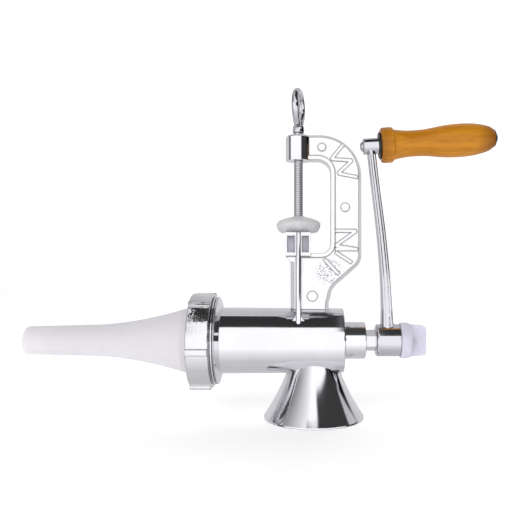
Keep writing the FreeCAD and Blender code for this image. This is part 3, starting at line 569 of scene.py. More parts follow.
# Nickel and chrome over forged steel: the darkest, sharpest reflections on the object, with painted shade in
# its corners.
CHROME = Metal("chrome_plated_forging", "dcdce0", 0.04, surface=Surface.PLATED, roughness_worn=0.12,
               ripple_mm=14, ripple_depth_mm=0.05, grain_mm=0.7, grain_depth_mm=0.002, edge_mm=0.6, corner_shade=0.5)
# The mouth's thread is chased and then buffed with the barrel; painted shade darkens its roots almost to black.
MOUTH_THREAD = Metal("chased_aluminium_thread", "f0f0f3", 0.08, roughness_worn=0.16, ripple_depth_mm=0.01,
                     edge_mm=0.15, corner_shade=0.97, corner_shade_mm=1.6)
# Rolled thread under bright zinc: satin, slightly blue, lines round the axis; painted shade darkens its roots.
ZINC_THREAD = Metal("zinc_plated_steel", "dcdcde", 0.12, surface=Surface.PLATED, roughness_worn=0.22,
                    ripple_depth_mm=0.01, grain_mm=0.6, grain_depth_mm=0.001, edge_mm=0.1,
                    corner_shade=0.65, corner_shade_mm=0.9)
# Plain turned steel pins: tool marks catch the light.
TURNED_STEEL = Metal("turned_steel", "a9a9ad", 0.28, surface=Surface.TURNED, roughness_worn=0.42,
                     grain_mm=0.4, grain_depth_mm=0.01, edge_mm=0.2)
# Blackened spring-steel washers: nearly black with a dull sheen.
BLACKENED = Metal("blackened_steel", "3a3836", 0.35, surface=Surface.TURNED, roughness_worn=0.5,
                  grain_mm=0.5, grain_depth_mm=0.006, edge_mm=0.15)
# Sintered bronze bush: warm, open-grained.
BRONZE = Metal("sintered_bronze", "b08a4c", 0.36, surface=Surface.SATIN, roughness_worn=0.5,
               grain_mm=0.6, grain_depth_mm=0.012, edge_mm=0.2)
# Natural polypropylene tube: milky, satin, a little violet in its shade.
MILKY_TUBE = Plastic("natural_polypropylene", "eeeaf1", 0.38, depth_mm=6, scatter=0.6, mottle=0.03,
                     grain_mm=2.0, grain_depth_mm=0.015)
# Unfilled nylon wing head: cooler and glossier than the tube.
NYLON_HEAD = Plastic("moulded_nylon", "dfdceb", 0.3, depth_mm=4, scatter=0.5, mottle=0.05, grain_mm=2.4,
                     grain_depth_mm=0.02)
# Matt nylon pad with the scuffs of its mould.
MATT_PAD = Plastic("matt_moulded_nylon", "dcdbdc", 0.62, depth_mm=2, scatter=0.3, mottle=0.16, grain_mm=0.9,
                   grain_depth_mm=0.05)
# Acetal thrust washer.
ACETAL = Plastic("acetal_washer", "e4e2dc", 0.42, depth_mm=1, scatter=0.2)


# ------------------------------------------------------------------ mesh helpers

def new_object(name: str, mesh: Mesh) -> Piece:
    """Put a mesh into the scene as an object at the origin.

    Args:
        name: The object's name.
        mesh: Its mesh.

    Returns:
        The object.
    """
    made = bpy.data.objects.new(name, mesh)
    bpy.context.scene.collection.objects.link(made)
    return made


def smooth(mesh: Mesh, sharp_degrees: float = 32.0) -> None:
    """Shade a mesh smooth, with sharp edges past an angle."""
    mesh.shade_smooth()
    mesh.set_sharp_from_angle(angle=math.radians(sharp_degrees))


def copy_of(node: Piece, name: str, flat_degrees: float = 0.0) -> Piece:
    """Copy a node's mesh with its loose triangles merged.

    Args:
        node: The node's object.
        name: The copy's name.
        flat_degrees: Edges between faces flatter than this are dissolved, if it is above 0.

    Returns:
        The copy, at the origin.
    """
    shape = bmesh.new()
    shape.from_mesh(node.data)
    bmesh.ops.remove_doubles(shape, verts=shape.verts, dist=MERGE)
    if flat_degrees:
        bmesh.ops.dissolve_limit(shape, angle_limit=math.radians(flat_degrees), verts=shape.verts,
                                 edges=shape.edges)
    mesh = bpy.data.meshes.new(name)
    shape.to_mesh(mesh)
    shape.free()
    for attribute in [a.name for a in mesh.attributes if a.name == "custom_normal"]:
        mesh.attributes.remove(mesh.attributes[attribute])
    mesh.materials.clear()
    smooth(mesh)
    return new_object(name, mesh)


def turned(name: str, profile: Sequence[tuple[float, float]], place: Matrix, around: int = 48) -> Mesh:
    """Turn a profile about the Z axis, then put it in place.

    Args:
        name: The mesh's name.
        profile: Height and radius of each corner, from one pole to the other.
        place: Where the turned shape goes.
        around: Number of faces round the axis.

    Returns:
        A closed mesh.
    """
    shape = bmesh.new()
    line = [shape.verts.new((radius, 0.0, height)) for height, radius in profile]
    edges = [shape.edges.new(pair) for pair in zip(line, line[1:])]
    bmesh.ops.spin(shape, geom=line + edges, axis=(0, 0, 1), cent=(0, 0, 0), steps=around,
                   angle=2 * math.pi, use_merge=True)
    bmesh.ops.remove_doubles(shape, verts=shape.verts, dist=MERGE)
    bmesh.ops.recalc_face_normals(shape, faces=shape.faces)
    bmesh.ops.transform(shape, matrix=place, verts=shape.verts)
    mesh = bpy.data.meshes.new(name)
    shape.to_mesh(mesh)
    shape.free()
    smooth(mesh)
    return mesh


def rounded(piece: Piece, width: float, segments: int = 3, angle: float = 30.0) -> None:
    """Round a piece's edges for good.

    Args:
        piece: The piece, changed in place.
        width: Radius of the rounding.
        segments: Faces across it.
        angle: Edges sharper than this, in degrees, are rounded.
    """
    bevel = piece.modifiers.new("round", "BEVEL")
    bevel.width = width
    bevel.segments = segments
    bevel.limit_method = "ANGLE"
    bevel.angle_limit = math.radians(angle)
    bevel.harden_normals = False
    baked(piece)
    smooth(piece.data, ROUNDED_SHARP)


def baked(piece: Piece) -> None:
    """Turn a piece's modifiers into a plain mesh.

    Args:
        piece: The piece, changed in place.
    """
    evaluated = piece.evaluated_get(bpy.context.evaluated_depsgraph_get())
    mesh = bpy.data.meshes.new_from_object(evaluated)
    piece.modifiers.clear()
    old, piece.data = piece.data, mesh
    mesh.name = piece.name
    if old.users == 0:
        bpy.data.meshes.remove(old)


def joined(name: str, meshes: Sequence[Mesh]) -> Piece:
    """Put several meshes into one piece.

    Args:
        name: The piece's name.
        meshes: The meshes, in place.

    Returns:
        The piece, at the origin.
    """
    shape = bmesh.new()
    for mesh in meshes:
        shape.from_mesh(mesh)
    whole = bpy.data.meshes.new(name)
    shape.to_mesh(whole)
    shape.free()
    smooth(whole)
    return new_object(name, whole)


def finished(piece: Piece, finish: Finish) -> None:
    """Give every slot of a piece one finish.

    Args:
        piece: The piece.
        finish: Its finish.
    """
    if not piece.data.materials:
        piece.data.materials.append(finish.material())
    for slot in piece.material_slots:
        slot.material = finish.material()


# ------------------------------------------------------------------ shapes that follow a rule

class GrownShape:
    """Geometry Nodes tree with named inputs, made once, whose result becomes a plain mesh."""

    NAME = ""
    INPUTS: tuple[tuple[str, str], ...] = ()

    def shape(self, tree: Tree, given: Any) -> Socket:
        """Add the nodes that make the shape.

        Args:
            tree: The tree.
            given: Its inputs by name.

        Returns:
            A socket with the geometry.
        """
        raise NotImplementedError

    def tree(self) -> Tree:
        """Make the tree on its first use.

        Returns:
            The tree, which ends in Realize Instances and Set Material.
        """
        found = bpy.data.node_groups.get(self.NAME)
        if found:
            return found
        tree = bpy.data.node_groups.new(self.NAME, "GeometryNodeTree")
        for name, kind in self.INPUTS + (("Material", "Material"),):
            tree.interface.new_socket(name, in_out="INPUT", socket_type="NodeSocket" + kind)
        tree.interface.new_socket("Geometry", in_out="OUTPUT", socket_type="NodeSocketGeometry")
        given = add(tree, "NodeGroupInput").outputs
        real = add(tree, "GeometryNodeRealizeInstances", None, {"Geometry": self.shape(tree, given)})
        dressed = add(tree, "GeometryNodeSetMaterial", None,
                      {"Geometry": real.outputs[0], "Material": given["Material"]})
        add(tree, "NodeGroupOutput", None, {"Geometry": dressed.outputs[0]})
        return tree

    def grow(self, start: Mesh, values: Mapping[str, Any]) -> Mesh:
        """Run the tree on a mesh and keep only the result.

        Args:
            start: Mesh that the tree begins with, removed at the end.
            values: The tree's inputs by name.

        Returns:
            A plain mesh.
        """
        carrier = new_object(start.name, start)
        modifier = carrier.modifiers.new("grow", "NODES")
        modifier.node_group = self.tree()
        for item in modifier.node_group.interface.items_tree:
            if item.in_out == "INPUT" and item.name in values:
                modifier[item.identifier] = values[item.name]
        carrier.update_tag()
        mesh = bpy.data.meshes.new_from_object(carrier.evaluated_get(bpy.context.evaluated_depsgraph_get()))
        carrier.modifiers.clear()
        bpy.data.objects.remove(carrier)
        bpy.data.meshes.remove(start)
        return mesh


class BeadShape(GrownShape):
    """Round beads that follow lines: a circle is swept along each line, with closed ends."""

    NAME = "forged_beads"
    INPUTS = (("Geometry", "Geometry"), ("Radius", "Float"), ("Sides", "Int"))

    def shape(self, tree: Tree, given: Any) -> Socket:
        """Sweep the circle along the lines.

        Args:
            tree: The tree.
            given: Its inputs by name.

        Returns:
            A socket with the beads.
        """
        lines = add(tree, "GeometryNodeMeshToCurve", None, {0: given["Geometry"]})
        circle = add(tree, "GeometryNodeCurvePrimitiveCircle", {"mode": "RADIUS"},
                     {"Resolution": given["Sides"], "Radius": given["Radius"]})
        return add(tree, "GeometryNodeCurveToMesh", None,
                   {"Curve": lines.outputs[0], "Profile Curve": circle.outputs[0],
                    "Fill Caps": True}).outputs[0]


class ThreadShape(GrownShape):
    """Threaded rod or collar: a cylinder whose skin follows a helix."""

    NAME = "rolled_thread"
    INPUTS = (("Radius", "Float"), ("Depth", "Float"), ("Pitch", "Float"), ("Length", "Float"),
              ("Open", "Bool"), ("Turn", "Rotation"), ("Centre", "Vector"))
    ROWS_PER_TURN = 14
    AROUND = 48
    # Where the flank begins and ends, as shares of the pitch from the crest's middle.
    FLANK = (0.22, 0.46)
    # How far the thread runs out at each end, and how many depths deep.
    RUN_OUT = (0.6 * MM, 1.8)

    def shape(self, tree: Tree, given: Any) -> Socket:
        """Make the cylinder, open its ends if asked, cut the groove and put it in place.

        Args:
            tree: The tree.
            given: Its inputs by name.

        Returns:
            A socket with the thread.
        """
        turns = add(tree, "ShaderNodeMath", {"operation": "DIVIDE"}, {0: given["Length"], 1: given["Pitch"]})
        rows = add(tree, "ShaderNodeMath", {"operation": "MULTIPLY"},
                   {0: turns.outputs[0], 1: float(self.ROWS_PER_TURN)})
        rod = add(tree, "GeometryNodeMeshCylinder", {"fill_type": "TRIANGLE_FAN"},
                  {"Vertices": self.AROUND, "Side Segments": rows.outputs[0], "Radius": given["Radius"],
                   "Depth": given["Length"]})
        ends = add(tree, "FunctionNodeBooleanMath", {"operation": "OR"},
                   {0: rod.outputs["Top"], 1: rod.outputs["Bottom"]})
        dropped = add(tree, "FunctionNodeBooleanMath", {"operation": "AND"},
                      {0: ends.outputs[0], 1: given["Open"]})
        skin = add(tree, "GeometryNodeDeleteGeometry", {"domain": "FACE"},
                   {"Geometry": rod.outputs["Mesh"], "Selection": dropped.outputs[0]})
        raised = add(tree, "GeometryNodeSetPosition", None,
                     {"Geometry": skin.outputs[0], "Offset": self.groove(tree, given)})
        return add(tree, "GeometryNodeTransform", None,
                   {"Geometry": raised.outputs[0], "Translation": given["Centre"],
                    "Rotation": given["Turn"]}).outputs[0]

    def groove(self, tree: Tree, given: Any) -> Socket:
        """Make the offset that cuts the groove into the rod's skin.

        Args:
            tree: The tree.
            given: Its inputs by name.

        Returns:
            A vector socket, towards the axis and up to Depth long.
        """
        place = add(tree, "GeometryNodeInputPosition")
        axes = add(tree, "ShaderNodeSeparateXYZ", None, {0: place.outputs[0]})
        angle = add(tree, "ShaderNodeMath", {"operation": "ARCTAN2"},
                    {0: axes.outputs["Y"], 1: axes.outputs["X"]})
        share = add(tree, "ShaderNodeMath", {"operation": "DIVIDE"}, {0: angle.outputs[0], 1: 2 * math.pi})
        climb = add(tree, "ShaderNodeMath", {"operation": "DIVIDE"},
                    {0: axes.outputs["Z"], 1: given["Pitch"]})
        phase = add(tree, "ShaderNodeMath", {"operation": "SUBTRACT"},
                    {0: climb.outputs[0], 1: share.outputs[0]})
        flank = add(tree, "ShaderNodeMath", {"operation": "PINGPONG"}, {0: phase.outputs[0], 1: 0.5})
        cut = add(tree, "ShaderNodeMapRange", {"interpolation_type": "SMOOTHSTEP"},
                  {"Value": flank.outputs[0], "From Min": self.FLANK[0], "From Max": self.FLANK[1],
                   "To Min": 0.0, "To Max": 1.0})
        height = add(tree, "ShaderNodeMath", {"operation": "ABSOLUTE"}, {0: axes.outputs["Z"]})
        half = add(tree, "ShaderNodeMath", {"operation": "MULTIPLY"}, {0: given["Length"], 1: 0.5})
        margin = add(tree, "ShaderNodeMath", {"operation": "SUBTRACT"},
                     {0: half.outputs[0], 1: height.outputs[0]})
        run_out = add(tree, "ShaderNodeMapRange", {"interpolation_type": "SMOOTHSTEP"},
                      {"Value": margin.outputs[0], "From Min": 0.0, "From Max": self.RUN_OUT[0],
                       "To Min": self.RUN_OUT[1], "To Max": 0.0})
        deepest = add(tree, "ShaderNodeMath", {"operation": "MAXIMUM"},
                      {0: cut.outputs["Result"], 1: run_out.outputs["Result"]})
        depth = add(tree, "ShaderNodeMath", {"operation": "MULTIPLY"},
                    {0: deepest.outputs[0], 1: given["Depth"]})
        flat = add(tree, "ShaderNodeCombineXYZ", None, {"X": axes.outputs["X"], "Y": axes.outputs["Y"]})
        inward = add(tree, "ShaderNodeVectorMath", {"operation": "NORMALIZE"}, {0: flat.outputs[0]})
        offset = add(tree, "ShaderNodeMath", {"operation": "MULTIPLY"}, {0: depth.outputs[0], 1: -1.0})
        moved = add(tree, "ShaderNodeVectorMath", {"operation": "SCALE"},
                    {0: inward.outputs[0], "Scale": offset.outputs[0]})
        return moved.outputs[0]


@dataclass(frozen=True)
class Thread:
    """A length of thread.

    Attributes:
        radius: Radius over the crests.
        depth: From crest to root.
        pitch: Travel in one turn.
        start: Centre of one end.
        end: Centre of the other end.
        hollow: Whether it is only a skin, to lie round something else.
    """

    radius: float
    depth: float
    pitch: float
    start: Vector
    end: Vector
    hollow: bool = False

    def mesh(self, name: str, finish: Finish) -> Mesh:
        """Make the thread's mesh, in place.

        Args:
            name: The mesh's name.
            finish: Its finish.

        Returns:
            A plain mesh.
        """
        along = self.end - self.start
        values = {"Radius": self.radius, "Depth": self.depth, "Pitch": self.pitch, "Length": along.length,
                  "Open": self.hollow, "Turn": along.to_track_quat("Z", "Y").to_euler(),
                  "Centre": (self.start + self.end) / 2, "Material": finish.material()}
        mesh = ThreadShape().grow(bpy.data.meshes.new(name + "_carrier"), values)
        mesh.name = name
        mesh.shade_smooth()
        return mesh


# ------------------------------------------------------------------ sub-assemblies

@dataclass
class SubAssembly:
    """Part of the object that is dressed together.

    Attributes:
        nodes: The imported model's node objects by name.
        joints: Its joints.
    """

    nodes: Mapping[str, Piece]
    joints: Sequence[Mapping[str, Any]]

    def build(self) -> list[Piece]:
        """Make and dress the sub-assembly.

        Returns:
            Its pieces.
        """
        raise NotImplementedError

    def dress(self, finishes: Mapping[str, Finish]) -> list[Piece]:
        """Keep some nodes' meshes and give them finishes.

        Args:
            finishes: Finish by node name.

        Returns:
            The nodes' objects.
        """
        for name, finish in finishes.items():
            finished(self.nodes[name], finish)
        return [self.nodes[name] for name in finishes]

    def settle(self, piece: Piece, body: str, slot: str, *stands_for: str) -> Piece:
        """Fix a new piece to its body, and hide the nodes that it stands for.

        Args:
            piece: The piece.
            body: Body that it rides on.
            slot: The record's material slot; not used.
            stands_for: Nodes that it hides.

        Returns:
            The same piece.
        """
        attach(piece, body)
        if stands_for:
            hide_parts(*stands_for)
        return piece


class CastFace(IntEnum):
    """Material slot of each kind of face on the casting."""

    BRIGHT = 0
    FRAME = 1
    RIB = 2
    POCKET = 3


@dataclass
class Body(SubAssembly):
    """Barrel, hopper, C-frame and bearing, with the thread of the barrel's mouth.

    Attributes:
        mouth_radius: Radius of the mouth over its thread.
        thread_depth: Depth of that thread.
        thread_pitch: Its pitch.
        mouth_end: Distance from the mouth's front to the end of its thread.
        mouth_start: Distance from the mouth's front to the start of its thread.
        mouth_play: How far the casting's skin may lie from mouth_radius to be taken for the thread's.
        root_gap: Space between the thread's roots and the skin under them.
        bead_radius: Radius of the beads along the rib's edges.
        bead_line: Distance of a bead's axis from the middle plane, at its foot and at its top.
        bead_low: Height of its foot.
        bead_gap: Space between its top and the pad.
        bead_soft: Rounding of its top, as a share of its radius.
        rib_half: Half the width of the rib under the jaw, with a little to spare.
        rib_foot: Height above which the rib stands free of the barrel.
        frame_top: Height below the screw boss.
        frame_foot: Height above which the C-frame's edges stand free.
        wall_from: Place along X past which its edges belong to the C.
        face_band: Nearest and farthest that the C-frame's faces lie from the middle plane.
        pocket_band: Nearest and farthest that the pockets' floors lie from it.
        square_on: Least share of a face's normal along Y to belong to a flat face.
    """

    mouth_radius: float = 36.4 * MM
    thread_depth: float = 0.85 * MM
    thread_pitch: float = 2.0 * MM
    mouth_end: float = 15.2 * MM
    mouth_start: float = 0.3 * MM
    mouth_play: float = 0.12 * MM
    root_gap: float = 0.05 * MM
    bead_radius: float = 2.3 * MM
    bead_line: tuple[float, float] = (19.6 * MM, 19.7 * MM)
    bead_low: float = 79 * MM
    bead_gap: float = 0.2 * MM
    bead_soft: float = 0.35
    rib_half: float = 2.1 * MM
    rib_foot: float = 84 * MM
    frame_top: float = 160 * MM
    frame_foot: float = 92 * MM
    wall_from: float = -1.0 * MM
    face_band: tuple[float, float] = (6.0 * MM, 7.9 * MM)
    pocket_band: tuple[float, float] = (9.8 * MM, 10.2 * MM)
    square_on: float = 0.98

    def build(self) -> list[Piece]:
        """Make the casting with its threaded mouth, and dress the bearing.

        Returns:
            Its pieces.
        """
        axis = self.axis_height()
        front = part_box("body_casting")[0].x
        piece = copy_of(self.nodes["body_casting"], "bright_casting")
        for vertex in piece.data.vertices:
            place = vertex.co
            out = math.hypot(place.y, place.z - axis)
            if place.x < front + self.mouth_end and abs(out - self.mouth_radius) < self.mouth_play:
                scale = (self.mouth_radius - self.thread_depth - self.root_gap) / out
                vertex.co = (place.x, place.y * scale, axis + (place.z - axis) * scale)
        self.assign_faces(piece)
        self.settle(piece, "housing", "cast_body", "body_casting")
        thread = Thread(self.mouth_radius, self.thread_depth, self.thread_pitch,
                        Vector((front + self.mouth_start, 0, axis)),
                        Vector((front + self.mouth_end, 0, axis)), True)
        ridge = new_object("mouth_thread", thread.mesh("mouth_thread", MOUTH_THREAD))
        self.settle(ridge, "housing", "cast_body")
        beads = self.rib_beads()
        return [piece, ridge, beads] + self.dress({
            "rear_bush": BRONZE, "thrust_washer": ACETAL, "auger_support": AS_CAST,
            "support_key": TURNED_STEEL})

    def rib_beads(self) -> Piece:
        """Make the round beads that stiffen the rib's front and back edges, from the barrel to the jaw's top.

        Returns:
            The piece.
        """
        low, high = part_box("clamp_screw")
        screw_x, jaw_top = (low.x + high.x) / 2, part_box("clamp_pad")[0].z - self.bead_gap
        halves = []
        for side in (-1, 1):
            path = [(screw_x, side * self.bead_line[0], self.bead_low),
                    (screw_x, side * self.bead_line[1], jaw_top)]
            way = Vector(path[1]) - Vector(path[0])
            place = Matrix.Translation(path[0]) @ way.to_track_quat("Z", "Y").to_matrix().to_4x4()
            tall, soft = way.length, self.bead_radius * self.bead_soft
            profile = [(0.0, 0.0), (0.0, self.bead_radius), (tall - soft, self.bead_radius),
                       (tall - soft * 0.3, self.bead_radius - soft * 0.3), (tall, self.bead_radius - soft),
                       (tall, 0.0)]
            halves.append(turned("rib_bead", profile, place, 32))
        beads = joined("rib_beads", halves)
        finished(beads, BRIGHT_CASTING)
        return self.settle(beads, "housing", "cast_body")

    def axis_height(self) -> float:
        """Return the height of the barrel's axis."""
        low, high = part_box("rear_bush")
        return (low.z + high.z) / 2

    def assign_faces(self, piece: Piece) -> None:
        """Give the C-frame, the rib and the jaw's pockets their own finishes, and the rest the bright one.

        Args:
            piece: The casting, with no materials yet.
        """
        for finish in (BRIGHT_CASTING, FRAME_CASTING, GROUND_RIB, POCKET):
            piece.data.materials.append(finish.material())
        low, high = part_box("clamp_screw")
        screw_x = (low.x + high.x) / 2
        for face in piece.data.polygons:
            out = abs(face.center.y)
            kind = CastFace.BRIGHT
            if abs(face.center.x - screw_x) < self.rib_half and out > self.face_band[1]:
                if self.rib_foot < face.center.z < self.frame_top:
                    kind = CastFace.RIB
            elif (face.center.x > self.wall_from and face.center.z > self.frame_foot
                  and out < self.face_band[1]):
                kind = CastFace.FRAME
            elif abs(face.normal.y) > self.square_on:
                if self.face_band[0] < out < self.face_band[1]:
                    kind = CastFace.FRAME
                elif self.pocket_band[0] < out < self.pocket_band[1] and face.center.z > self.rib_foot:
                    kind = CastFace.POCKET
            face.material_index = kind


@dataclass
class Feed(SubAssembly):
    """Feed screw inside the barrel and its front pin."""

    def build(self) -> list[Piece]:
        """Dress the feed screw.

        Returns:
            Its pieces.
        """
        return self.dress({"auger_screw": RUN_IN, "auger_front_pin": TURNED_STEEL})


@dataclass
class Outlet(SubAssembly):
    """Stuffing tube and the ring nut that holds it.

    Attributes:
        lug_round: Radius of the lugs' edges.
    """

    lug_round: float = 0.5 * MM

    def build(self) -> list[Piece]:
        """Make the ring nut with softened lugs, and dress the tube.

        Returns:
            Its pieces.
        """
        ring = copy_of(self.nodes["ring_nut"], "lugged_ring", 0.5)
        rounded(ring, self.lug_round, 2, 50.0)
        finished(ring, RING_CASTING)
        self.settle(ring, "ring", "cast_ring", "ring_nut")
        return [ring] + self.dress({"stuffing_tube": MILKY_TUBE})


@dataclass
class Crank(SubAssembly):
    """Crank arm, its turned grip and the spindle.

    Attributes:
        stations: Height, place along X, half width and half depth of the arm, in millimetres, from hub
            to head.
        flute_share: Distance of each bead from the arm's middle line, as a share of its half width.
        bead_radius: Radius of the beads either side of the arm's flute.
        bead_sunk: How far a bead's middle lies under the arm's skin, as a share of its radius.
        bead_sides: Faces round a bead.
        steps: Points along a bead between two stations.
    """

    stations: tuple[tuple[float, float, float, float], ...] = (
        (76.0, 61.7, 5.8, 8.1), (90.2, 61.2, 5.0, 7.2), (119.0, 59.7, 4.5, 6.8), (148.2, 57.2, 4.1, 6.4),
        (168.0, 54.9, 3.95, 6.2), (188.2, 52.3, 3.8, 6.0), (207.0, 50.1, 3.75, 5.8), (221.5, 48.5, 3.7, 5.6))
    flute_share: float = 0.52
    bead_radius: float = 1.25 * MM
    bead_sunk: float = 0.35
    bead_sides: int = 16
    steps: int = 8

    def build(self) -> list[Piece]:
        """Make the arm's beads, and dress the crank, the grip and its washers.

        Returns:
            Its pieces.
        """
        low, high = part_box("wooden_grip")
        tilt = next(math.atan2(joint["axis"][2], joint["axis"][0]) for joint in self.joints
                    if joint["name"] == "grip_turn")
        wood = Varnished("varnished_beech", "cf8a1e", 0.34, tilt=tilt, ends=(low.x, high.x))
        return [self.arm_beads()] + self.dress({
            "crank_arm": CHROME, "handle_spindle": CHROME, "grip_inner_washer": BLACKENED,
            "grip_outer_washer": BLACKENED, "wooden_grip": wood})

    def arm_beads(self) -> Piece:
        """Make the raised beads that leave a flute along the arm's front and back.

        Returns:
            The piece.
        """
        points, edges = [], []
        for side in (-1, 1):
            for face in (-1, 1):
                first = len(points)
                for near, far in zip(self.stations, self.stations[1:]):
                    for step in range(self.steps):
                        share = step / self.steps
                        z, x, wide, deep = (a + (b - a) * share for a, b in zip(near, far))
                        out = math.sqrt(1 - self.flute_share ** 2) * deep * MM
                        points.append(((x + side * self.flute_share * wide) * MM,
                                       face * (out - self.bead_radius * self.bead_sunk), z * MM))
                edges += [(k, k + 1) for k in range(first, len(points) - 1)]
        lines = bpy.data.meshes.new("arm_lines")
        lines.from_pydata(points, edges, [])
        mesh = BeadShape().grow(lines, {"Radius": self.bead_radius, "Sides": self.bead_sides,
                                        "Material": CHROME.material()})
        smooth(mesh, ROUNDED_SHARP)
        return self.settle(new_object("arm_beads", mesh), "drive", "plated_arm")


@dataclass
class WingHead(SubAssembly):
    """White wing head and its threaded stud.

    Attributes:
        moulded_round: Radius of the head's moulded edges.
        pitch: Pitch of the stud.
        thread_depth: Depth of its thread.
    """

    moulded_round: float = 1.6 * MM
    pitch: float = 1.25 * MM
    thread_depth: float = 0.7 * MM

    def build(self) -> list[Piece]:
        """Make the rounded head and the threaded stud.

        Returns:
            Its pieces.
        """
        head = copy_of(self.nodes["thumb_screw_head"], "moulded_wing_head", 0.5)
        rounded(head, self.moulded_round, 4, 35.0)
        finished(head, NYLON_HEAD)
        self.settle(head, "thumb_head", "white_plastic", "thumb_screw_head")
        low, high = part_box("thumb_screw_stud")
        middle = (low + high) / 2
        thread = Thread((high.z - low.z) / 2, self.thread_depth, self.pitch,
                        Vector((low.x, middle.y, middle.z)), Vector((high.x, middle.y, middle.z)))
        stud = new_object("threaded_stud", thread.mesh("threaded_stud", ZINC_THREAD))
        self.settle(stud, "thumb_stud", "steel_part", "thumb_screw_stud")
        return [head, stud]


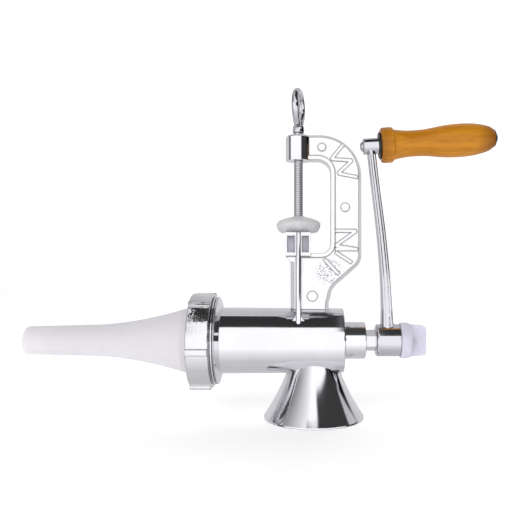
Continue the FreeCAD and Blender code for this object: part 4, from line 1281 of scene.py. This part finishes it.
@dataclass
class TableClamp(SubAssembly):
    """Clamp screw, its pad and its eye handle.

    Attributes:
        pitch: Pitch of the screw.
        thread_depth: Depth of its thread.
        neck_height: Height of the plain neck at its foot.
        neck_radius: Radius of that neck.
        bar_width: Half width of the eye's bar, across the eye.
        bar_depth: Half thickness of the eye's bar.
        bar_steps: Rings of faces along the bar, and faces round it.
        eye_foot: Height of the eye's lowest point above the collar's foot.
        eye_clear: Space that the eye keeps inside its node's box, to the sides and on top.
        waist: How much narrower the eye gets towards its foot.
        collar: Heights above its foot and radii of the collar under the eye, in millimetres.
        pad_outside: Heights above the foot, and distances inside the widest radius, of the pad's outside,
            in millimetres.
        pad_crown: Distance of the crown's edge inside the widest radius.
        pad_inside: Heights above the foot and radii of the pad's recess, in millimetres.
        rib_count: Number of ribs round the pad's edge.
        rib_height: Their height.
        rib_band: How far inside the widest radius they reach, how high, and the height over which they fade.
    """

    pitch: float = 1.5 * MM
    thread_depth: float = 0.4 * MM
    neck_height: float = 4.6 * MM
    neck_radius: float = 2.5 * MM
    bar_width: float = 2.9 * MM
    bar_depth: float = 3.0 * MM
    bar_steps: tuple[int, int] = (56, 20)
    eye_foot: float = 5.2 * MM
    eye_clear: tuple[float, float] = (0.3 * MM, 0.2 * MM)
    waist: float = 0.35
    collar: tuple[tuple[float, float], ...] = (
        (0.0, 0.0), (0.0, 4.4), (0.6, 5.0), (2.2, 5.0), (5.7, 4.6), (7.7, 3.0), (7.7, 0.0))
    pad_outside: tuple[tuple[float, float], ...] = (
        (0.0, 3.9), (0.5, 2.9), (1.5, 1.9), (3.0, 1.0), (4.6, 0.4), (6.2, 0.1), (7.6, 0.1), (8.8, 0.8),
        (10.0, 2.4), (11.0, 4.6), (11.9, 7.4), (12.6, 10.2), (13.1, 12.4), (13.5, 13.6))
    pad_crown: float = 14.2 * MM
    pad_inside: tuple[tuple[float, float], ...] = (
        (5.4, 4.15), (5.4, 2.6), (3.2, 2.6), (3.2, 7.2), (0.0, 7.2))
    rib_count: int = 36
    rib_height: float = 0.45 * MM
    rib_band: tuple[float, float, float] = (3.5 * MM, 7.0 * MM, 2.0 * MM)

    def build(self) -> list[Piece]:
        """Make the threaded screw, the forged eye and the moulded pad.

        Returns:
            Its pieces.
        """
        low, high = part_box("clamp_screw")
        x, y = (low.x + high.x) / 2, (low.y + high.y) / 2
        radius = (high.x - low.x) / 2
        shoulder = low.z + self.neck_height
        thread = Thread(radius, self.thread_depth, self.pitch, Vector((x, y, shoulder)),
                        Vector((x, y, high.z)))
        neck = turned("screw_neck", [(low.z, 0.0), (low.z, self.neck_radius),
                                     (shoulder + self.pitch, self.neck_radius), (shoulder + self.pitch, 0.0)],
                      Matrix.Translation((x, y, 0)), 24)
        screw = joined("rolled_clamp_screw", [thread.mesh("screw_thread", ZINC_THREAD), neck])
        finished(screw, ZINC_THREAD)
        self.settle(screw, "screw", "screw_steel", "clamp_screw")
        eye = self.eye(x, y)
        self.settle(eye, "screw", "plated_handle", "screw_handle")
        pad = self.pad(x, y)
        self.settle(pad, "pad", "pad_plastic", "clamp_pad")
        return [screw, eye, pad] + self.dress({"pad_retainer": TURNED_STEEL})

    def pad(self, x: float, y: float) -> Piece:
        """Make the domed pad, with the fine ribs of its grip round the lower edge.

        Args:
            x: Place of the screw's axis along X.
            y: Place of the screw's axis along Y.

        Returns:
            The piece.
        """
        low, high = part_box("clamp_pad")
        rim = (high.x - low.x) / 2
        profile = [(low.z, self.pad_inside[-1][1] * MM)]
        profile += [(low.z + height * MM, rim - inside * MM) for height, inside in self.pad_outside]
        profile += [(high.z, rim - self.pad_crown), (high.z, self.pad_inside[0][1] * MM)]
        profile += [(low.z + height * MM, radius * MM) for height, radius in self.pad_inside]
        mesh = turned("moulded_pad", profile, Matrix.Translation((x, y, 0)), self.rib_count * 4)
        reach, top, fade = self.rib_band
        for vertex in mesh.vertices:
            side, depth = vertex.co.x - x, vertex.co.y - y
            out, height = math.hypot(side, depth), vertex.co.z - low.z
            if out > rim - reach and height < top:
                wave = 0.5 - 0.5 * math.cos(math.atan2(depth, side) * self.rib_count)
                scale = 1 - wave * self.rib_height * min(1.0, (top - height) / fade) / out
                vertex.co.x, vertex.co.y = x + side * scale, y + depth * scale
        piece = new_object("moulded_pad", mesh)
        finished(piece, MATT_PAD)
        return piece

    def eye(self, x: float, y: float) -> Piece:
        """Make the eye: a bar bent into an egg-shaped loop on a short collar.

        Args:
            x: Place of the screw's axis along X.
            y: Place of the screw's axis along Y.

        Returns:
            The piece.
        """
        low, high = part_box("screw_handle")
        across = Vector((high.x - low.x, high.y - low.y, 0))
        across = Vector((across.x * 0.5 - self.bar_depth, across.y * 0.5, 0)).normalized()
        reach = (high.y - low.y) / 2 / max(across.y, 0.5) - self.bar_width - self.eye_clear[0]
        top, foot = high.z - self.bar_width - self.eye_clear[1], low.z + self.eye_foot
        middle = top - reach
        steps, sides = self.bar_steps
        path = []
        for step in range(steps):
            angle = 2 * math.pi * step / steps
            side, up = math.sin(angle), math.cos(angle)
            narrowed = 1 - self.waist * up * up if up < 0 else 1.0
            rise = (middle - foot) * up if up < 0 else reach * up
            path.append(Vector((x, y, middle + rise)) + across * reach * side * narrowed)
        shape = bmesh.new()
        rings = []
        outward = across.cross(Vector((0, 0, 1)))
        for index, point in enumerate(path):
            ahead = (path[(index + 1) % steps] - path[index - 1]).normalized()
            radial = outward.cross(ahead).normalized()
            rings.append([shape.verts.new(point + radial * math.cos(turn) * self.bar_width
                                          + outward * math.sin(turn) * self.bar_depth)
                          for turn in (2 * math.pi * k / sides for k in range(sides))])
        for first, second in zip(rings, rings[1:] + rings[:1]):
            for k in range(sides):
                shape.faces.new((first[k], first[(k + 1) % sides], second[(k + 1) % sides], second[k]))
        bmesh.ops.recalc_face_normals(shape, faces=shape.faces)
        loop = bpy.data.meshes.new("eye_loop")
        shape.to_mesh(loop)
        shape.free()
        collar = turned("eye_collar", [(low.z + height * MM, radius * MM) for height, radius in self.collar],
                        Matrix.Translation((x, y, 0)), 32)
        piece = joined("forged_eye", [loop, collar])
        finished(piece, CHROME)
        return piece


# ------------------------------------------------------------------ studio

@dataclass
class Studio:
    """Pale sweep, soft lights, the bands that the polished metal reflects, and the camera.

    Attributes:
        camera_place: Where the camera stands.
        focal_mm: Its focal length on a 36 mm sensor.
        shift: Its lens shift, as shares of the picture's width.
        lamps: Name, place, side and watts of each soft light.
        aim: Point that the lights face.
        reach: Half the sweep's width.
        straight: How far back its floor runs before it curves.
        curve: Radius of that curve.
        wall: Height of its top.
        room_strength: Brightness of the room's brightest part.
        room: Angle in degrees and brightness, from below the floor, up the front, over the top and down
            the back.
        side_fade: Sideways directions between which the room's left darkens, and by how much at most.
        side_band: Lowest and highest direction of that darkening, and half the width of its edges.
        paper_glow: Light that the sweep gives by itself, like a lit table.
    """

    camera_place: Place = (-0.0106, -0.504, 0.1307)
    focal_mm: float = 41.54
    shift: tuple[float, float] = (-0.0788, 0.0019)
    lamps: tuple[tuple[str, Place, float, float], ...] = (
        ("key_light", (-0.55, -0.95, 1.15), 0.9, 4.8), ("fill_light", (0.9, -0.7, 0.9), 0.8, 1.5),
        ("back_light", (0.1, 0.9, 1.0), 0.9, 3.0))
    aim: Place = (0.0, 0.0, 0.1)
    reach: float = 2.6
    straight: float = 1.4
    curve: float = 0.8
    wall: float = 3.0
    room_strength: float = 1.25
    room: tuple[tuple[float, float], ...] = (
        (-179, 0.55), (-110, 0.50), (-70, 0.55), (-38, 0.80), (-22, 1.0), (60, 1.0), (100, 0.9), (106, 0.48),
        (150, 0.55), (179, 0.6))
    side_fade: tuple[float, float, float] = (-0.9, -0.1, 0.82)
    side_band: tuple[float, float, float] = (0.33, 2.0, 0.12)
    paper_glow: float = 0.32

    def build(self) -> None:
        """Make the camera, the sweep, the lights and the surroundings."""
        self.camera()
        self.sweep()
        self.surroundings()
        for lamp in self.lamps:
            self.light(*lamp)
        bpy.context.scene.view_settings.view_transform = "Standard"

    def camera(self) -> None:
        """Make the camera, level and square to the barrel."""
        lens = bpy.data.cameras.new("camera")
        lens.lens = self.focal_mm
        lens.sensor_width = 36.0
        lens.shift_x, lens.shift_y = self.shift
        lens.clip_start = 0.01
        stand = bpy.data.objects.new("camera", lens)
        stand.location = self.camera_place
        stand.rotation_euler = (math.pi / 2, 0, 0)
        bpy.context.scene.collection.objects.link(stand)
        bpy.context.scene.camera = stand

    def light(self, name: str, place: Place, size: float, watts: float) -> None:
        """Hang a soft square light that points at the object and leaves no image in polished metal.

        Args:
            name: The light's name.
            place: Where it hangs.
            size: Length of its side.
            watts: Its power.
        """
        lamp = bpy.data.lights.new(name, "AREA")
        lamp.size = size
        lamp.energy = watts
        held = bpy.data.objects.new(name, lamp)
        held.location = place
        held.rotation_euler = (Vector(self.aim) - Vector(place)).to_track_quat("-Z", "Y").to_euler()
        held.visible_glossy = False
        bpy.context.scene.collection.objects.link(held)

    def sweep(self) -> None:
        """Make the floor and the backdrop as one sheet that curves upwards behind the object."""
        profile = [(-self.reach, 0.0), (self.straight, 0.0)]
        profile += [(self.straight + self.curve * math.sin(turn), self.curve * (1 - math.cos(turn)))
                    for turn in (math.radians(step * 10) for step in range(1, 10))]
        profile.append((self.straight + self.curve, self.wall))
        mesh = bpy.data.meshes.new("sweep")
        points = [(side * self.reach, y, z) for y, z in profile for side in (-1, 1)]
        faces = [(2 * k, 2 * k + 1, 2 * k + 3, 2 * k + 2) for k in range(len(profile) - 1)]
        mesh.from_pydata(points, [], faces)
        mesh.shade_smooth()
        made = bpy.data.materials.new("pale_paper")
        made.use_nodes = True
        shader = made.node_tree.nodes["Principled BSDF"]
        shader.inputs["Base Color"].default_value = linear("fbfbfb")
        shader.inputs["Roughness"].default_value = 0.9
        shader.inputs["Specular IOR Level"].default_value = 0.1
        shader.inputs["Emission Color"].default_value = linear("ffffff")
        shader.inputs["Emission Strength"].default_value = self.paper_glow
        mesh.materials.append(made)
        sheet = new_object("sweep", mesh)
        sheet.visible_glossy = False

    def surroundings(self) -> None:
        """Make the white room, with the dark gaps between its soft boxes that bright metal mirrors."""
        world = bpy.data.worlds.new("studio")
        bpy.context.scene.world = world
        world.use_nodes = True
        tree = world.node_tree
        tree.nodes.clear()
        way = add(tree, "ShaderNodeTexCoord").outputs["Generated"]
        axes = add(tree, "ShaderNodeSeparateXYZ", None, {0: way}).outputs
        ahead = add(tree, "ShaderNodeMath", {"operation": "MULTIPLY"}, {0: axes["Y"], 1: -1.0}).outputs[0]
        rise = add(tree, "ShaderNodeMath", {"operation": "ARCTAN2"}, {0: axes["Z"], 1: ahead}).outputs[0]
        turn = add(tree, "ShaderNodeMath", {"operation": "ARCTAN2"}, {0: axes["X"], 1: ahead}).outputs[0]
        share = add(tree, "ShaderNodeMapRange", None,
                    {"Value": rise, "From Min": -math.pi, "From Max": math.pi}).outputs["Result"]
        light = self.profile(tree, share)
        far, near, darkest = self.side_fade
        side = add(tree, "ShaderNodeMapRange", None,
                   {"Value": axes["X"], "From Min": far, "From Max": near, "To Min": darkest, "To Max": 0.0})
        left = add(tree, "ShaderNodeMath", {"operation": "MULTIPLY"},
                   {0: side.outputs["Result"], 1: self.between(tree, axes["Z"], *self.side_band)})
        light = self.dimmed(tree, light, left.outputs[0], 1.0)
        for first, second, darkness in self.gaps(rise, turn, axes):
            inside = add(tree, "ShaderNodeMath", {"operation": "MULTIPLY"},
                         {0: self.between(tree, *first), 1: self.between(tree, *second)})
            light = self.dimmed(tree, light, inside.outputs[0], darkness)
        seen = add(tree, "ShaderNodeLightPath").outputs["Is Camera Ray"]
        final = add(tree, "ShaderNodeMix", {"data_type": "FLOAT"}, {0: seen, 2: light, 3: 1.0})
        room = add(tree, "ShaderNodeBackground", None,
                   {"Color": linear("fdfcff"), "Strength": final.outputs[0]})
        add(tree, "ShaderNodeOutputWorld", None, {"Surface": room.outputs[0]})

    def gaps(self, rise: Socket, turn: Socket, axes: Any) -> tuple[Any, ...]:
        """List the dark gaps between the room's soft boxes.

        Args:
            rise: Angle of a direction above the front.
            turn: Its angle sideways from the front.
            axes: Its shares along X, Y and Z.

        Returns:
            For each gap, two ranges and how dark it is.  A range is a socket, its two limits and half the
            width of its edges.
        """
        degree = math.radians
        return (((rise, degree(52), degree(101), degree(2)), (axes["X"], -0.24, 0.12, 0.03), 0.97),
                ((rise, degree(37), degree(101), degree(3)), (axes["X"], 0.11, 0.97, 0.03), 0.96),
                ((turn, degree(78), degree(118), degree(4)), (axes["Z"], -0.5, 0.30, 0.05), 0.97),
                ((turn, degree(-92), degree(-72), degree(3)), (axes["Z"], -0.5, 0.30, 0.05), 0.9),
                ((turn, degree(24), degree(120), degree(2)), (axes["Z"], 0.03, 0.34, 0.02), 0.96))

    def profile(self, tree: Tree, share: Socket) -> Socket:
        """Make the brightness of the room by angle.

        Args:
            tree: The world's tree.
            share: Direction as a share of the whole turn.

        Returns:
            A socket with the brightness.
        """
        ramp = add(tree, "ShaderNodeValToRGB", None, {0: share})
        while len(ramp.color_ramp.elements) < len(self.room):
            ramp.color_ramp.elements.new(0.5)
        for element, (angle, value) in zip(ramp.color_ramp.elements, self.room):
            element.position = (angle + 180) / 360
            element.color = (value, value, value, 1.0)
        return add(tree, "ShaderNodeMath", {"operation": "MULTIPLY"},
                   {0: ramp.outputs["Color"], 1: self.room_strength}).outputs[0]

    def dimmed(self, tree: Tree, light: Socket, inside: Socket, darkness: float) -> Socket:
        """Take a share of the light away inside a gap.

        Args:
            tree: The world's tree.
            light: The brightness so far.
            inside: Socket that is 1 inside the gap.
            darkness: The share that is taken away there.

        Returns:
            A socket with the brightness left.
        """
        left = add(tree, "ShaderNodeMath", {"operation": "MULTIPLY_ADD"}, {0: inside, 1: -darkness, 2: 1.0})
        lit = add(tree, "ShaderNodeMath", {"operation": "MULTIPLY"}, {0: light, 1: left.outputs[0]})
        return lit.outputs[0]

    def between(self, tree: Tree, value: Socket, low: float, high: float, soft: float) -> Socket:
        """Make a socket that is 1 where a value lies between two limits, with soft edges.

        Args:
            tree: The world's tree.
            value: The value.
            low: Lower limit.
            high: Upper limit.
            soft: Half the width of each edge.

        Returns:
            A socket from 0 to 1.
        """
        up = add(tree, "ShaderNodeMapRange", {"interpolation_type": "SMOOTHSTEP"},
                 {"Value": value, "From Min": low - soft, "From Max": low + soft})
        down = add(tree, "ShaderNodeMapRange", {"interpolation_type": "SMOOTHSTEP"},
                   {"Value": value, "From Min": high - soft, "From Max": high + soft,
                    "To Min": 1.0, "To Max": 0.0})
        both = add(tree, "ShaderNodeMath", {"operation": "MULTIPLY"},
                   {0: up.outputs["Result"], 1: down.outputs["Result"]})
        return both.outputs[0]


# ------------------------------------------------------------------ the whole object


def main(nodes: Mapping[str, Piece], joints: Sequence[Mapping[str, Any]]) -> None:
    """Build every sub-assembly in order, then the studio, and note the sizes.

    Args:
        nodes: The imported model's node objects by name.
        joints: Its joints.
    """
    logging.basicConfig(level=logging.INFO, format="%(message)s")
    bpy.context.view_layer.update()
    for kind in (Body, Feed, Outlet, Crank, WingHead, TableClamp):
        for piece in kind(nodes, joints).build():
            LOG.info("%s: %s, %d faces", kind.__name__, piece.name, len(piece.data.polygons))
    Studio().build()


if __name__ == "__main__":
    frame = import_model()
    main(frame["nodes"], frame["joints"])
